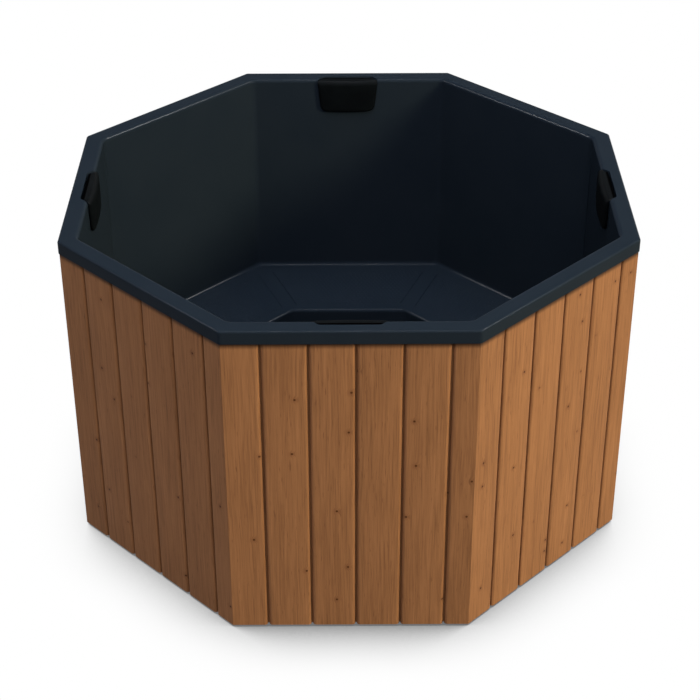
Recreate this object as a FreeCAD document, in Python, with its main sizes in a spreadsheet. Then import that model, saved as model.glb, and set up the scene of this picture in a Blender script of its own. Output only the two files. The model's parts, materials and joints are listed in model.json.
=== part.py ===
import FreeCAD, Part
import math
import os

import Sketcher

# Octagonal wooden hot tub, in millimetres. The ground is z = 0, the tub's centre is x = y = 0 and the front
# face looks along -Y. Every face carries the same row of boards, so one face is drawn at the front and turned.

SIZES = [
    ("rim_flats", 1600, "moulded rim, outside, across flats"),
    ("rim_z", 980, "top of the rim above the ground"),
    ("rim_width", 55, "flat width of the rim, outside edge to bath wall"),
    ("rim_corner_r", 14, "plan radius of the rim's outer corners"),
    ("rim_edge_r", 6, "rounding of the rim's outer top edge"),
    ("rim_inner_r", 12, "rounding of the rim's inner top edge"),
    ("skirt_drop", 38, "height of the rim's outer skirt"),
    ("shell_wall", 6, "wall of the moulded liner"),
    ("wall_corner_r", 30, "upright corners of the bath wall"),
    ("seat_back_z", 284, "seat level at the wall"),
    ("seat_fall", 6, "fall of the seat towards the foot well"),
    ("seat_depth", 292, "seat, wall to foot well"),
    ("seat_back_flat", 22, "level strip of the seat along the wall"),
    ("seat_front_flat", 25, "level strip of the seat along the foot well"),
    ("seat_back_r", 14, "cove between wall and seat"),
    ("crease_width", 4, "crease along each end of a seat panel"),
    ("crease_depth", 2, "crease below the seat"),
    ("crease_inset", 28, "crease from the corner line of the seat, along the wall"),
    ("crease_back_gap", 50, "crease from the bath wall"),
    ("crease_front_gap", 35, "crease from the foot well"),
    ("well_corner_r", 30, "upright corners of the foot well"),
    ("well_edge_r", 11, "rounded front edge of the seat"),
    ("well_floor_r", 18, "cove around the foot-well floor"),
    ("notch_mouth_width", 200, "headrest notch at the bath wall"),
    ("notch_back_width", 161, "headrest notch at its back"),
    ("notch_depth", 23, "headrest notch behind the bath wall"),
    ("notch_drop", 114, "headrest notch below the rim, at its mouth"),
    ("notch_taper", 13, "draw-in of each notch side from rim to bottom"),
    ("notch_corner_r", 30, "lower corners of the notch"),
    ("notch_back_r", 15, "cove at the back of the notch"),
    ("pad_lean", 0.78, "draw-in of the headrest towards its back, for each unit of depth"),
    ("pad_front_width", 214, "headrest at its front, before rounding"),
    ("pad_drop", 120, "headrest below the rim, at its front, before rounding"),
    ("pad_proud", 14, "headrest in front of the bath wall"),
    ("pad_top_gap", 2, "headrest below the top of the rim"),
    ("pad_corner_r", 31, "lower corners of the headrest"),
    ("pad_crown_r", 800, "bow of the headrest's front, side to side"),
    ("pad_edge_r", 8, "rounding around the headrest's front"),
    ("pad_back_r", 6, "rounding around the headrest's back"),
    ("pad_seat_gap", 5, "headrest off the back of its notch"),
    ("peg_dia", 10, "headrest peg"),
    ("peg_spread", 90, "distance between the two pegs"),
    ("peg_drop", 52, "pegs below the rim"),
    ("peg_reach", 7.5, "pegs behind the back of the notch"),
    ("run_clear", 0.3, "radial clearance of pieces that move"),
    ("clad_setback", 3, "boards behind the face of the skirt"),
    ("board_thick", 20, "cladding board"),
    ("board_pitch", 122.6, "cover width of a board"),
    ("groove_shift", 15.5, "third joint of a face, right of its middle"),
    ("groove_gap", 4, "open width of a board joint"),
    ("board_round_r", 9, "rounded front edges of a board"),
    ("tongue_setback", 10.5, "tongue behind the face of the board"),
    ("tongue_thick", 5, "tongue"),
    ("tongue_reach", 8, "tongue inside the next board"),
    ("tongue_clear", 0.25, "clearance around a tongue"),
    ("shoulder_gap", 0.5, "gap between board backs"),
    ("mitre_gap", 0.3, "half gap of a mitred corner"),
    ("board_low_z", 6, "foot of the boards above the ground"),
    ("board_head_gap", 2, "head of the boards below the rim plate"),
    ("rebate_clear", 1, "board head behind the skirt"),
    ("rebate_gap", 2, "open joint under the skirt"),
    ("batten_thick", 22, "batten behind the boards"),
    ("batten_height", 40, "batten, upright"),
    ("middle_batten_z", 420, "underside of the middle batten"),
    ("upper_batten_gap", 41, "upper batten below the headrest notches"),
    ("plate_leg", 45, "each leg of a bent corner plate"),
    ("plate_height", 34, "corner plate, upright"),
    ("plate_thick", 2, "corner plate"),
    ("sole_size", 45, "sole plate, square section"),
    ("post_leg", 50, "corner post along each face"),
    ("post_depth", 45, "corner post, inwards"),
    ("rail_width", 45, "seat rail"),
    ("rail_height", 45, "seat rail, upright"),
    ("rail_setback", 20, "seat rail behind the face of the frame"),
    ("rail_clear", 0.3, "seat rail below the seat"),
    ("bearer_width", 45, "bearer under the foot well"),
    ("bearer_depth", 95, "bearer, upright"),
    ("bearer_pitch", 225, "distance between bearers"),
    ("port_spread", 122, "distance between the two heater ports"),
    ("port_z", 175, "axis of the heater ports above the ground"),
    ("port_dia", 50, "heater pipe and port tube, outside"),
    ("port_wall", 3, "heater pipe wall"),
    ("port_spigot_dia", 48, "free end of a heater pipe, outside"),
    ("port_flange_dia", 84, "port flange in the foot well"),
    ("port_flange_thick", 4, "port flange"),
    ("port_tube_reach", 48, "port tube behind the gasket"),
    ("port_nut_dia", 76, "port locknut over corners"),
    ("port_nut_thick", 14, "port locknut"),
    ("coupling_length", 43, "sleeve that joins port tube and pipe"),
    ("coupling_wall", 4.5, "sleeve wall"),
    ("stub_reach", 62, "heater pipe beyond the boards"),
    ("gasket_thick", 2, "sealing ring"),
    ("fit_clear", 0.2, "radial clearance of fixed pieces"),
    ("hole_clear", 2, "radial clearance of holes in the boards"),
    ("collar_width", 16, "collar around a pipe, ring width"),
    ("collar_thick", 4, "collar on the boards"),
    ("drain_x", 140, "drain, right of the middle"),
    ("drain_y", 250, "drain, behind the middle"),
    ("drain_z", 70, "axis of the drain pipe above the ground"),
    ("drain_dia", 40, "drain pipe, outside"),
    ("drain_wall", 2, "drain pipe wall"),
    ("waste_tube_dia", 50, "threaded tube of the floor flange"),
    ("waste_bore_dia", 42, "bore of the floor flange"),
    ("waste_flange_dia", 90, "floor flange"),
    ("waste_flange_thick", 3, "floor flange"),
    ("waste_tube_drop", 25, "threaded tube below the flange"),
    ("sump_dia", 76, "cup under the floor"),
    ("sump_wall", 4, "cup wall"),
    ("sump_depth", 46, "cup below the floor"),
    ("sump_neck", 15, "threaded neck of the cup"),
    ("socket_length", 30, "pipe socket on the cup"),
    ("socket_wall", 3, "pipe socket wall"),
    ("grate_dia", 78, "lift-out strainer"),
    ("grate_crown", 6, "rise of the strainer"),
    ("grate_skirt", 8, "strainer skirt in the flange bore"),
    ("grate_wall", 2.4, "strainer wall"),
    ("grate_slot", 4, "strainer slot"),
    ("grate_hub", 16, "closed middle of the strainer"),
    ("valve_stand", 5, "valve off the collar"),
    ("valve_socket", 18, "pipe socket of the valve"),
    ("valve_end_dia", 50, "valve socket, outside"),
    ("valve_body_dia", 66, "valve body"),
    ("valve_body_length", 62, "valve body along the pipe"),
    ("valve_seat", 5, "wall at each end of the ball chamber"),
    ("ball_dia", 51.4, "valve ball"),
    ("ball_bore_dia", 34, "bore of the ball"),
    ("stem_dia", 14, "valve stem"),
    ("stem_root", 20, "stem's lower end above the pipe axis"),
    ("stem_top", 61, "stem's upper end above the pipe axis"),
    ("boss_dia", 27, "stem boss"),
    ("boss_top", 45, "stem boss above the pipe axis"),
    ("hub_dia", 32, "lever hub"),
    ("hub_lift", 1.5, "lever hub above the boss"),
    ("hub_height", 14, "lever hub"),
    ("lever_reach", 104, "lever from the stem to its end"),
    ("lever_width", 24, "lever"),
    ("lever_thick", 7, "lever"),
    ("union_dia", 74, "union nut over corners"),
    ("outlet_reach", 52, "outlet spigot beyond the union nut"),
    ("outlet_dia", 38, "outlet spigot, outside"),
    ("outlet_wall", 3, "outlet spigot wall"),
]

doc = FreeCAD.newDocument("hot_tub")
dims = doc.addObject("Spreadsheet::Sheet", "dims")
for row, (alias, value, meaning) in enumerate(SIZES, 1):
    dims.set(f"A{row}", meaning)
    dims.set(f"B{row}", str(value))
    dims.setAlias(f"B{row}", alias)
doc.recompute()

TURN = 45.0
FACES = ["front", "front_right", "right", "back_right", "back", "back_left", "left", "front_left"]
PADDED = {"front": 0, "right": 2, "back": 4, "left": 6}

# Distances shared by several pieces, measured from the middle of the tub to a face.
T = "tan(22.5)"
RIM = "dims.rim_flats / 2"
OPENING = "(dims.rim_flats / 2 - dims.rim_width)"
WELL = f"({OPENING} - dims.seat_depth)"
SKIRT_IN = "(dims.rim_flats / 2 - dims.shell_wall)"
CLAD = "(dims.rim_flats / 2 - dims.clad_setback)"
CLAD_IN = f"({CLAD} - dims.board_thick)"
FRAME = f"({CLAD_IN} - dims.batten_thick)"
FLOOR = "(dims.bearer_depth + dims.shell_wall)"
SEAT_FRONT = "(dims.seat_back_z - dims.seat_fall)"
RIM_UNDER = "(dims.rim_z - dims.shell_wall)"

nodes = {}


def body_of(name):
    return doc.addObject("PartDesign::Body", name)


def sketch_on(body, name, role, lift="0"):
    """A sketch on one of the body's own origin planes, lifted along the plane's normal."""
    sketch = body.newObject("Sketcher::SketchObject", name)
    plane = [f for f in body.Origin.OriginFeatures if f.Role == role][0]
    sketch.AttachmentSupport = [(plane, "")]
    sketch.MapMode = "FlatFace"
    sketch.setExpression("AttachmentOffset.Base.z", lift)
    return sketch


def size(sketch, constraint, name, formula):
    """Adds a dimension to a sketch and ties it to the sheet."""
    index = sketch.addConstraint(constraint)
    sketch.renameConstraint(index, name)
    sketch.setExpression(f"Constraints.{name}", formula)


def polygon(sketch, points):
    """A closed outline whose corners each stand at a sheet-driven x and y."""
    count = len(points)
    first = sketch.GeometryCount
    ring = [FreeCAD.Vector(math.cos(2 * math.pi * i / count), math.sin(2 * math.pi * i / count), 0) * 100
            for i in range(count)]
    sketch.addGeometry([Part.LineSegment(ring[i], ring[(i + 1) % count]) for i in range(count)], False)
    for i in range(count):
        sketch.addConstraint(Sketcher.Constraint("Coincident", first + i, 2, first + (i + 1) % count, 1))
    for i, (x, y) in enumerate(points):
        size(sketch, Sketcher.Constraint("DistanceX", -1, 1, first + i, 1, ring[i].x), f"x{first + i}", x)
        size(sketch, Sketcher.Constraint("DistanceY", -1, 1, first + i, 1, ring[i].y), f"y{first + i}", y)


def circle(sketch, x, y, radius):
    index = sketch.addGeometry(Part.Circle(FreeCAD.Vector(1, 1, 0), FreeCAD.Vector(0, 0, 1), 5), False)
    size(sketch, Sketcher.Constraint("DistanceX", -1, 1, index, 3, 1), f"x{index}", x)
    size(sketch, Sketcher.Constraint("DistanceY", -1, 1, index, 3, 1), f"y{index}", y)
    size(sketch, Sketcher.Constraint("Radius", index, 5), f"r{index}", radius)


def octagon(sketch, apothem, corner, start):
    """A regular octagon with rounded corners; start is a rough apothem for the solver to begin from."""
    first = sketch.GeometryCount
    radius = start / 25
    half = (start - radius) * math.tan(math.pi / 8)
    reach = (start - radius) / math.cos(math.pi / 8)
    up = FreeCAD.Vector(0, 0, 1)
    outline = []
    for k in range(8):
        angle = math.pi / 4 * k
        out = FreeCAD.Vector(math.cos(angle), math.sin(angle), 0)
        along = FreeCAD.Vector(-math.sin(angle), math.cos(angle), 0)
        outline.append(Part.LineSegment(out * start - along * half, out * start + along * half))
        middle = angle + math.pi / 8
        centre = FreeCAD.Vector(math.cos(middle), math.sin(middle), 0) * reach
        outline.append(Part.ArcOfCircle(Part.Circle(centre, up, radius), angle, angle + math.pi / 4))
    sketch.addGeometry(outline, False)
    slant = {1: 135, 3: -135, 5: -45, 7: 45}
    for k in range(8):
        side = first + 2 * k
        sketch.addConstraint(Sketcher.Constraint("Tangent", side, 2, side + 1, 1))
        sketch.addConstraint(Sketcher.Constraint("Tangent", side + 1, 2, first + (2 * k + 2) % 16, 1))
        if k:
            sketch.addConstraint(Sketcher.Constraint("Equal", first + 1, side + 1))
        if k in slant:
            sketch.addConstraint(Sketcher.Constraint("Angle", side, math.radians(slant[k])))
        else:
            sketch.addConstraint(Sketcher.Constraint("Horizontal" if k in (2, 6) else "Vertical", side))
    for k in range(8):
        size(sketch, Sketcher.Constraint("Distance", -1, 1, first + 2 * k, start), f"side{first}_{k}", apothem)
    size(sketch, Sketcher.Constraint("Radius", first + 1, radius), f"corner{first}", corner)


def octagon_at(body, name, apothem, corner, height, start):
    sketch = sketch_on(body, name, "XY_Plane", height)
    octagon(sketch, apothem, corner, start)
    return sketch


def pad(body, sketch, name, length):
    feature = body.newObject("PartDesign::Pad", name)
    feature.Profile = sketch
    feature.setExpression("Length", length)
    doc.recompute()
    return feature


def pocket(body, sketch, name, length, upwards=False):
    feature = body.newObject("PartDesign::Pocket", name)
    feature.Profile = sketch
    feature.setExpression("Length", length)
    feature.Reversed = upwards
    doc.recompute()
    return feature


def fillet(body, name, feature, picked, radius):
    """Rounds the edges that the test picks by their middle point, ends and shape."""
    names = [f"Edge{i}" for i, edge in enumerate(feature.Shape.Edges, 1) if picked(edge)]
    rounding = body.newObject("PartDesign::Fillet", name)
    rounding.Base = (feature, names)
    rounding.Radius = 1
    rounding.setExpression("Radius", radius)
    doc.recompute()
    return rounding


def number(alias):
    return float(dims.get(alias))


def middle_of(edge):
    return edge.valueAt((edge.FirstParameter + edge.LastParameter) / 2)


def level_loop(height, apothem):
    """Picks the edges of one level octagonal loop."""
    def picked(edge):
        box = edge.BoundBox
        if box.ZLength > 0.01 or abs(box.ZMin - height) > 0.01:
            return False
        point = middle_of(edge)
        reach = max(point.x * math.cos(math.pi / 4 * k) + point.y * math.sin(math.pi / 4 * k) for k in range(8))
        return abs(reach - apothem) < 9
    return picked


def turned(name, axis, points, base):
    """A piece turned about an upright axis (Z) or about one that runs front to back (Y), at base."""
    body = body_of(name)
    sketch = sketch_on(body, f"{name}_profile", "XZ_Plane" if axis == "Z" else "YZ_Plane")
    polygon(sketch, points)
    feature = body.newObject("PartDesign::Revolution", f"{name}_turn")
    feature.Profile = sketch
    feature.ReferenceAxis = (sketch, ["V_Axis" if axis == "Z" else "H_Axis"])
    feature.Angle = 360
    place(body, base)
    doc.recompute()
    return body


def place(thing, base):
    for letter, formula in zip("xyz", base):
        thing.setExpression(f"Placement.Base.{letter}", formula)


def solid(kind, name, sizes, base, lying=False):
    """A Part primitive; a lying one has its own upright axis laid along +Y."""
    thing = doc.addObject(f"Part::{kind}", name)
    for key, formula in sizes.items():
        thing.setExpression(key, formula)
    if lying:
        thing.Placement = FreeCAD.Placement(FreeCAD.Vector(), FreeCAD.Rotation(FreeCAD.Vector(1, 0, 0), -90))
    place(thing, base)
    return thing


def cut(name, base, tool):
    thing = doc.addObject("Part::Cut", name)
    thing.Base = base
    thing.Tool = tool
    return thing


def fuse(name, things):
    thing = doc.addObject("Part::MultiFuse", name)
    thing.Shapes = things
    return thing


def sloped(name, low, low_reach, high, high_reach):
    """An octagonal funnel with flat sides: two square ones, a half side apart, where they overlap."""
    halves = []
    for turn in (0, TURN):
        wedge = doc.addObject("Part::Wedge", f"{name}_{int(turn)}")
        for axis in "XZ":
            wedge.setExpression(f"{axis}min", f"-{low_reach}")
            wedge.setExpression(f"{axis}max", low_reach)
            wedge.setExpression(f"{axis}2min", f"-{high_reach}")
            wedge.setExpression(f"{axis}2max", high_reach)
        wedge.setExpression("Ymin", low)
        wedge.setExpression("Ymax", high)
        upright = FreeCAD.Rotation(FreeCAD.Vector(1, 0, 0), 90)
        wedge.Placement = FreeCAD.Placement(
            FreeCAD.Vector(), FreeCAD.Rotation(FreeCAD.Vector(0, 0, 1), turn).multiply(upright))
        halves.append(wedge)
    thing = doc.addObject("Part::MultiCommon", name)
    thing.Shapes = halves
    return thing


def column(name, apothem, corner, low, height, start):
    """An upright octagonal block with rounded corners."""
    body = body_of(name)
    pad(body, octagon_at(body, f"{name}_plan", apothem, corner, low, start), f"{name}_height", height)
    return body


def body_from(name, thing):
    """A body that carries on from a boolean, so that its edges can be rounded."""
    doc.recompute()
    body = body_of(name)
    body.BaseFeature = thing
    doc.recompute()
    return body, body.Group[0]


def group(name, things, steps=0):
    """Several pieces kept apart in one object, turned by a number of octagon sides."""
    thing = doc.addObject("Part::Compound", name)
    thing.Links = things
    thing.Placement = FreeCAD.Placement(
        FreeCAD.Vector(), FreeCAD.Rotation(FreeCAD.Vector(0, 0, 1), TURN * steps))
    return thing


def all_round(name, things, count=8):
    """The same pieces on every side of the octagon."""
    step = 8 // count
    return group(name, [group(f"{name}_{k}", things, k * step) for k in range(count)])


# Moulded liner: the outside of the shell with its rim plate and skirt.
OUT_WALL = f"({OPENING} + dims.shell_wall)"
OUT_WELL = f"({WELL} + dims.shell_wall)"
OUT_CORNER = "dims.wall_corner_r + dims.shell_wall"
OUT_WELL_CORNER = "dims.well_corner_r + dims.shell_wall"
SLOPE_IN = f"({WELL} + dims.seat_front_flat)"
SLOPE_OUT = f"({OPENING} - dims.seat_back_flat)"
UNDER_BACK = "(dims.seat_back_z - dims.shell_wall)"
UNDER_FRONT = f"({SEAT_FRONT} - dims.shell_wall)"
UNDER_FLOOR = f"({FLOOR} - dims.shell_wall)"
rim_plate = body_of("rim_plate")
plate = octagon_at(rim_plate, "rim_plate_plan", RIM, "dims.rim_corner_r", RIM_UNDER, 800)
pad(rim_plate, plate, "rim_plate_height", "dims.shell_wall")
skirt = octagon_at(rim_plate, "skirt_plan", RIM, "dims.rim_corner_r", "dims.rim_z - dims.skirt_drop", 800)
octagon(skirt, SKIRT_IN, "dims.rim_corner_r - dims.shell_wall", 794)
pad(rim_plate, skirt, "skirt_height", "dims.skirt_drop - dims.shell_wall")
shell, step = body_from("liner_outside", fuse("outside_full", [
    rim_plate,
    column("outside_wall", OUT_WALL, OUT_CORNER, UNDER_BACK, f"{RIM_UNDER} - {UNDER_BACK}", 750),
    sloped("outside_seat", UNDER_FRONT, SLOPE_IN, UNDER_BACK, SLOPE_OUT),
    column("outside_well", OUT_WELL, OUT_WELL_CORNER, UNDER_FLOOR, f"{UNDER_FRONT} - {UNDER_FLOOR}", 450),
]))
wall = number("shell_wall")
opening = number("rim_flats") / 2 - number("rim_width")
well = opening - number("seat_depth")
seat_front = number("seat_back_z") - number("seat_fall")
floor = number("bearer_depth") + wall
step = fillet(shell, "rim_outer_round", step, level_loop(number("rim_z"), number("rim_flats") / 2),
              "dims.rim_edge_r")
step = fillet(shell, "rim_under_round", step,
              level_loop(number("rim_z") - wall, opening + wall), "dims.rim_inner_r - dims.shell_wall")
step = fillet(shell, "seat_back_outer_round", step,
              level_loop(number("seat_back_z") - wall, opening + wall), "dims.seat_back_r + dims.shell_wall")
step = fillet(shell, "well_edge_outer_round", step,
              level_loop(seat_front - wall, well + wall), "dims.well_edge_r - dims.shell_wall")
step = fillet(shell, "floor_outer_round", step,
              level_loop(floor - wall, well + wall), "dims.well_floor_r + dims.shell_wall")

# The room inside the bath, with the rounded rim edge, the coves and the seat edge.
bath, step = body_from("bath_room", fuse("bath_full", [
    column("above_rim", f"{OPENING} + 2 * dims.rim_inner_r", "dims.wall_corner_r", "dims.rim_z",
           "dims.skirt_drop", 760),
    column("bath_wall", OPENING, "dims.wall_corner_r", "dims.seat_back_z", "dims.rim_z - dims.seat_back_z", 745),
    sloped("bath_seat", SEAT_FRONT, SLOPE_IN, "dims.seat_back_z", SLOPE_OUT),
    column("bath_well", WELL, "dims.well_corner_r", FLOOR, f"{SEAT_FRONT} - {FLOOR}", 440),
]))
step = fillet(bath, "rim_inner_round", step, level_loop(number("rim_z"), opening), "dims.rim_inner_r")
step = fillet(bath, "seat_back_round", step, level_loop(number("seat_back_z"), opening), "dims.seat_back_r")
step = fillet(bath, "well_edge_round", step, level_loop(seat_front, well), "dims.well_edge_r")
step = fillet(bath, "floor_round", step, level_loop(floor, well), "dims.well_floor_r")


def tapered(name, mouth, back, top):
    """A flat-sided block on the front wall that leans two ways: its sides draw in downwards and towards its
    back. mouth and back each give a distance out, a half width at rim level and a bottom height."""
    rim = number("rim_z")
    draw = number("notch_taper") / number("notch_drop")
    loops = []
    for out, half, low in (mouth, back):
        low_half = half - draw * (rim - low)
        top_half = half - draw * (rim - top)
        loops.append([FreeCAD.Vector(-low_half, -out, low), FreeCAD.Vector(low_half, -out, low),
                      FreeCAD.Vector(top_half, -out, top), FreeCAD.Vector(-top_half, -out, top)])
    near, far = loops
    corners = [near[::-1], far]
    for i in range(4):
        j = (i + 1) % 4
        corners.append([near[i], near[j], far[j], far[i]])
    faces = [Part.Face(Part.makePolygon(loop + loop[:1])) for loop in corners]
    thing = doc.addObject("Part::Feature", name)
    thing.Shape = Part.Solid(Part.Shell(faces))
    return thing


def lower_corner(edge):
    """Picks the straight edges that run front to back along the lower half of a block."""
    straight = edge.Curve.TypeId == "Part::GeomLine"
    low = middle_of(edge).z < number("rim_z") - number("notch_drop") / 2
    return straight and low and edge.BoundBox.YLength > 5


def back_edge(distance):
    """Picks the rim of a block's back face, all but its top."""
    def picked(edge):
        box = edge.BoundBox
        level = box.YLength < 0.01 and abs(box.YMin + distance) < 0.01
        return level and middle_of(edge).z < number("rim_z")
    return picked


# Headrest notch in the middle of four walls: the room cut out and the wall moulded around it.
NOTCH_BACK = f"({OPENING} + dims.notch_depth)"
rim_z = number("rim_z")
notch_depth = number("notch_depth")
notch_back = opening + notch_depth
mouth_half = number("notch_mouth_width") / 2
back_half = number("notch_back_width") / 2
draw_in = (mouth_half - back_half) / notch_depth
notch_low = rim_z - number("notch_drop")
margin = notch_depth / 2
notch, step = body_from("notch_room", tapered(
    "notch_block",
    (opening - margin, mouth_half + draw_in * margin, notch_low - draw_in * margin),
    (notch_back, back_half, notch_low + draw_in * notch_depth),
    rim_z + number("skirt_drop")))
step = fillet(notch, "notch_corner_round", step, lower_corner, "dims.notch_corner_r")
fillet(notch, "notch_back_round", step, back_edge(notch_back), "dims.notch_back_r")
backing, step = body_from("notch_wall", tapered(
    "notch_wall_block",
    (opening + wall / 2, mouth_half + wall - draw_in * wall / 2, notch_low - wall + draw_in * wall / 2),
    (notch_back + wall, back_half + wall - draw_in * wall, notch_low - wall + draw_in * (notch_depth + wall)),
    rim_z - wall / 2))
fillet(backing, "notch_wall_round", step, lower_corner, "dims.notch_corner_r + dims.shell_wall")

peg_holes = [
    solid("Cylinder", f"peg_hole_{side}",
          {"Radius": "dims.peg_dia / 2 + dims.run_clear", "Height": "dims.notch_depth"},
          (f"{sign} dims.peg_spread / 2", f"-{NOTCH_BACK} - dims.notch_depth / 2", "dims.rim_z - dims.peg_drop"),
          lying=True)
    for side, sign in (("left", "-"), ("right", "+"))
]
port_holes = [
    solid("Cylinder", f"port_hole_{side}",
          {"Radius": "dims.port_dia / 2 + dims.run_clear", "Height": "3 * dims.shell_wall"},
          (f"{sign} dims.port_spread / 2", f"{WELL} - dims.shell_wall", "dims.port_z"), lying=True)
    for side, sign in (("left", "-"), ("right", "+"))
]
waste_hole = solid("Cylinder", "waste_hole",
                   {"Radius": "dims.waste_tube_dia / 2 + dims.run_clear", "Height": "3 * dims.shell_wall"},
                   ("dims.drain_x", "dims.drain_y", f"{FLOOR} - 2 * dims.shell_wall"))

# Creases that mark off a panel on each side of the seat. They follow the slope of the seat.
CREASE_IN = f"({WELL} + dims.crease_front_gap)"
CREASE_OUT = f"({OPENING} - dims.crease_back_gap)"
crease_strips = []
for side, sign in (("left", "-"), ("right", "")):
    strip = body_of(f"crease_{side}")
    plan = sketch_on(strip, f"crease_{side}_plan", "XY_Plane", f"{SEAT_FRONT} - 2 * dims.crease_depth")
    polygon(plan, [
        (f"{sign}({CREASE_IN} * {T} - dims.crease_inset - dims.crease_width / 2)", f"-{CREASE_IN}"),
        (f"{sign}({CREASE_IN} * {T} - dims.crease_inset + dims.crease_width / 2)", f"-{CREASE_IN}"),
        (f"{sign}({CREASE_OUT} * {T} - dims.crease_inset + dims.crease_width / 2)", f"-{CREASE_OUT}"),
        (f"{sign}({CREASE_OUT} * {T} - dims.crease_inset - dims.crease_width / 2)", f"-{CREASE_OUT}"),
    ])
    pad(strip, plan, f"crease_{side}_height", "dims.seat_fall + 4 * dims.crease_depth")
    crease_strips.append(strip)
creases = doc.addObject("Part::MultiCommon", "seat_creases")
creases.Shapes = [
    all_round("crease_strips", crease_strips),
    sloped("crease_bed", f"{SEAT_FRONT} - dims.crease_depth", SLOPE_IN,
           "dims.seat_back_z + dims.seat_fall - dims.crease_depth", f"(2 * {SLOPE_OUT} - {SLOPE_IN})"),
]
around = [group(f"notch_wall_{k}", [backing], k) for k in PADDED.values()]
rooms = [group(f"notch_room_{k}", [notch], k) for k in PADDED.values()]
holes = [group(f"peg_holes_{k}", peg_holes, k) for k in PADDED.values()]
moulded = cut("liner_hollow", fuse("liner_full", [shell] + around), fuse("bath_and_notches", [bath] + rooms))
nodes["tub_liner"] = cut("tub_liner", moulded, group("liner_holes", holes + port_holes + [waste_hole, creases]))

# Headrest: a crowned pad that narrows into its notch, with two pegs at the back.
PAD_BACK = f"({NOTCH_BACK} - dims.pad_seat_gap)"
pad_front = opening - number("pad_proud")
pad_back = notch_back - number("pad_seat_gap")
pad_half = number("pad_front_width") / 2
pad_draw = number("pad_lean") * (pad_back - pad_front)
pad_low = rim_z - number("pad_drop")
pad_block = tapered(
    "headrest_block",
    (pad_front, pad_half, pad_low),
    (pad_back, pad_half - pad_draw, pad_low + pad_draw),
    rim_z - number("pad_top_gap"))
bow = solid("Cylinder", "headrest_bow", {"Radius": "dims.pad_crown_r", "Height": "2 * dims.rim_z"},
            ("0", f"dims.pad_proud - {OPENING} - dims.pad_crown_r", "0"))
crowned = doc.addObject("Part::MultiCommon", "headrest_crowned")
crowned.Shapes = [pad_block, bow]
headrest, step = body_from("headrest_form", crowned)
crown_r = number("pad_crown_r")


def front_edge(edge):
    """Picks the outline of the headrest's bowed front."""
    points = [edge.valueAt(edge.FirstParameter), middle_of(edge), edge.valueAt(edge.LastParameter)]
    return all(abs(math.hypot(q.x, q.y + pad_front + crown_r) - crown_r) < 0.01 for q in points)


step = fillet(headrest, "headrest_corner_round", step, lower_corner, "dims.pad_corner_r")
step = fillet(headrest, "headrest_front_round", step, front_edge, "dims.pad_edge_r")
step = fillet(headrest, "headrest_back_round", step, back_edge(pad_back), "dims.pad_back_r")
pegs = sketch_on(headrest, "headrest_pegs", "XZ_Plane", f"{PAD_BACK} - dims.notch_depth / 4")
circle(pegs, "-dims.peg_spread / 2", "dims.rim_z - dims.peg_drop", "dims.peg_dia / 2")
circle(pegs, "dims.peg_spread / 2", "dims.rim_z - dims.peg_drop", "dims.peg_dia / 2")
pad(headrest, pegs, "headrest_peg_pad", "dims.notch_depth / 4 + dims.pad_seat_gap + dims.peg_reach")
for face, k in PADDED.items():
    nodes[f"headrest_{face}"] = group(f"headrest_{face}", [headrest], k)

# Cladding: six tongued and grooved boards on a face, the outer two mitred into the corners.
FACE = f"-{CLAD}"
BACK = f"-{CLAD_IN}"
TONGUE_FRONT = f"-({CLAD} - dims.tongue_setback)"
TONGUE_BACK = f"-({CLAD} - dims.tongue_setback - dims.tongue_thick)"
BOARD_TOP = f"({RIM_UNDER} - dims.board_head_gap)"


def joint(i):
    """Middle of the open joint to the right of board i."""
    return f"(dims.groove_shift + ({i} - 2) * dims.board_pitch)"


def mitre(sign, apothem):
    return f"{sign}({apothem} * {T} - dims.mitre_gap)"


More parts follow.
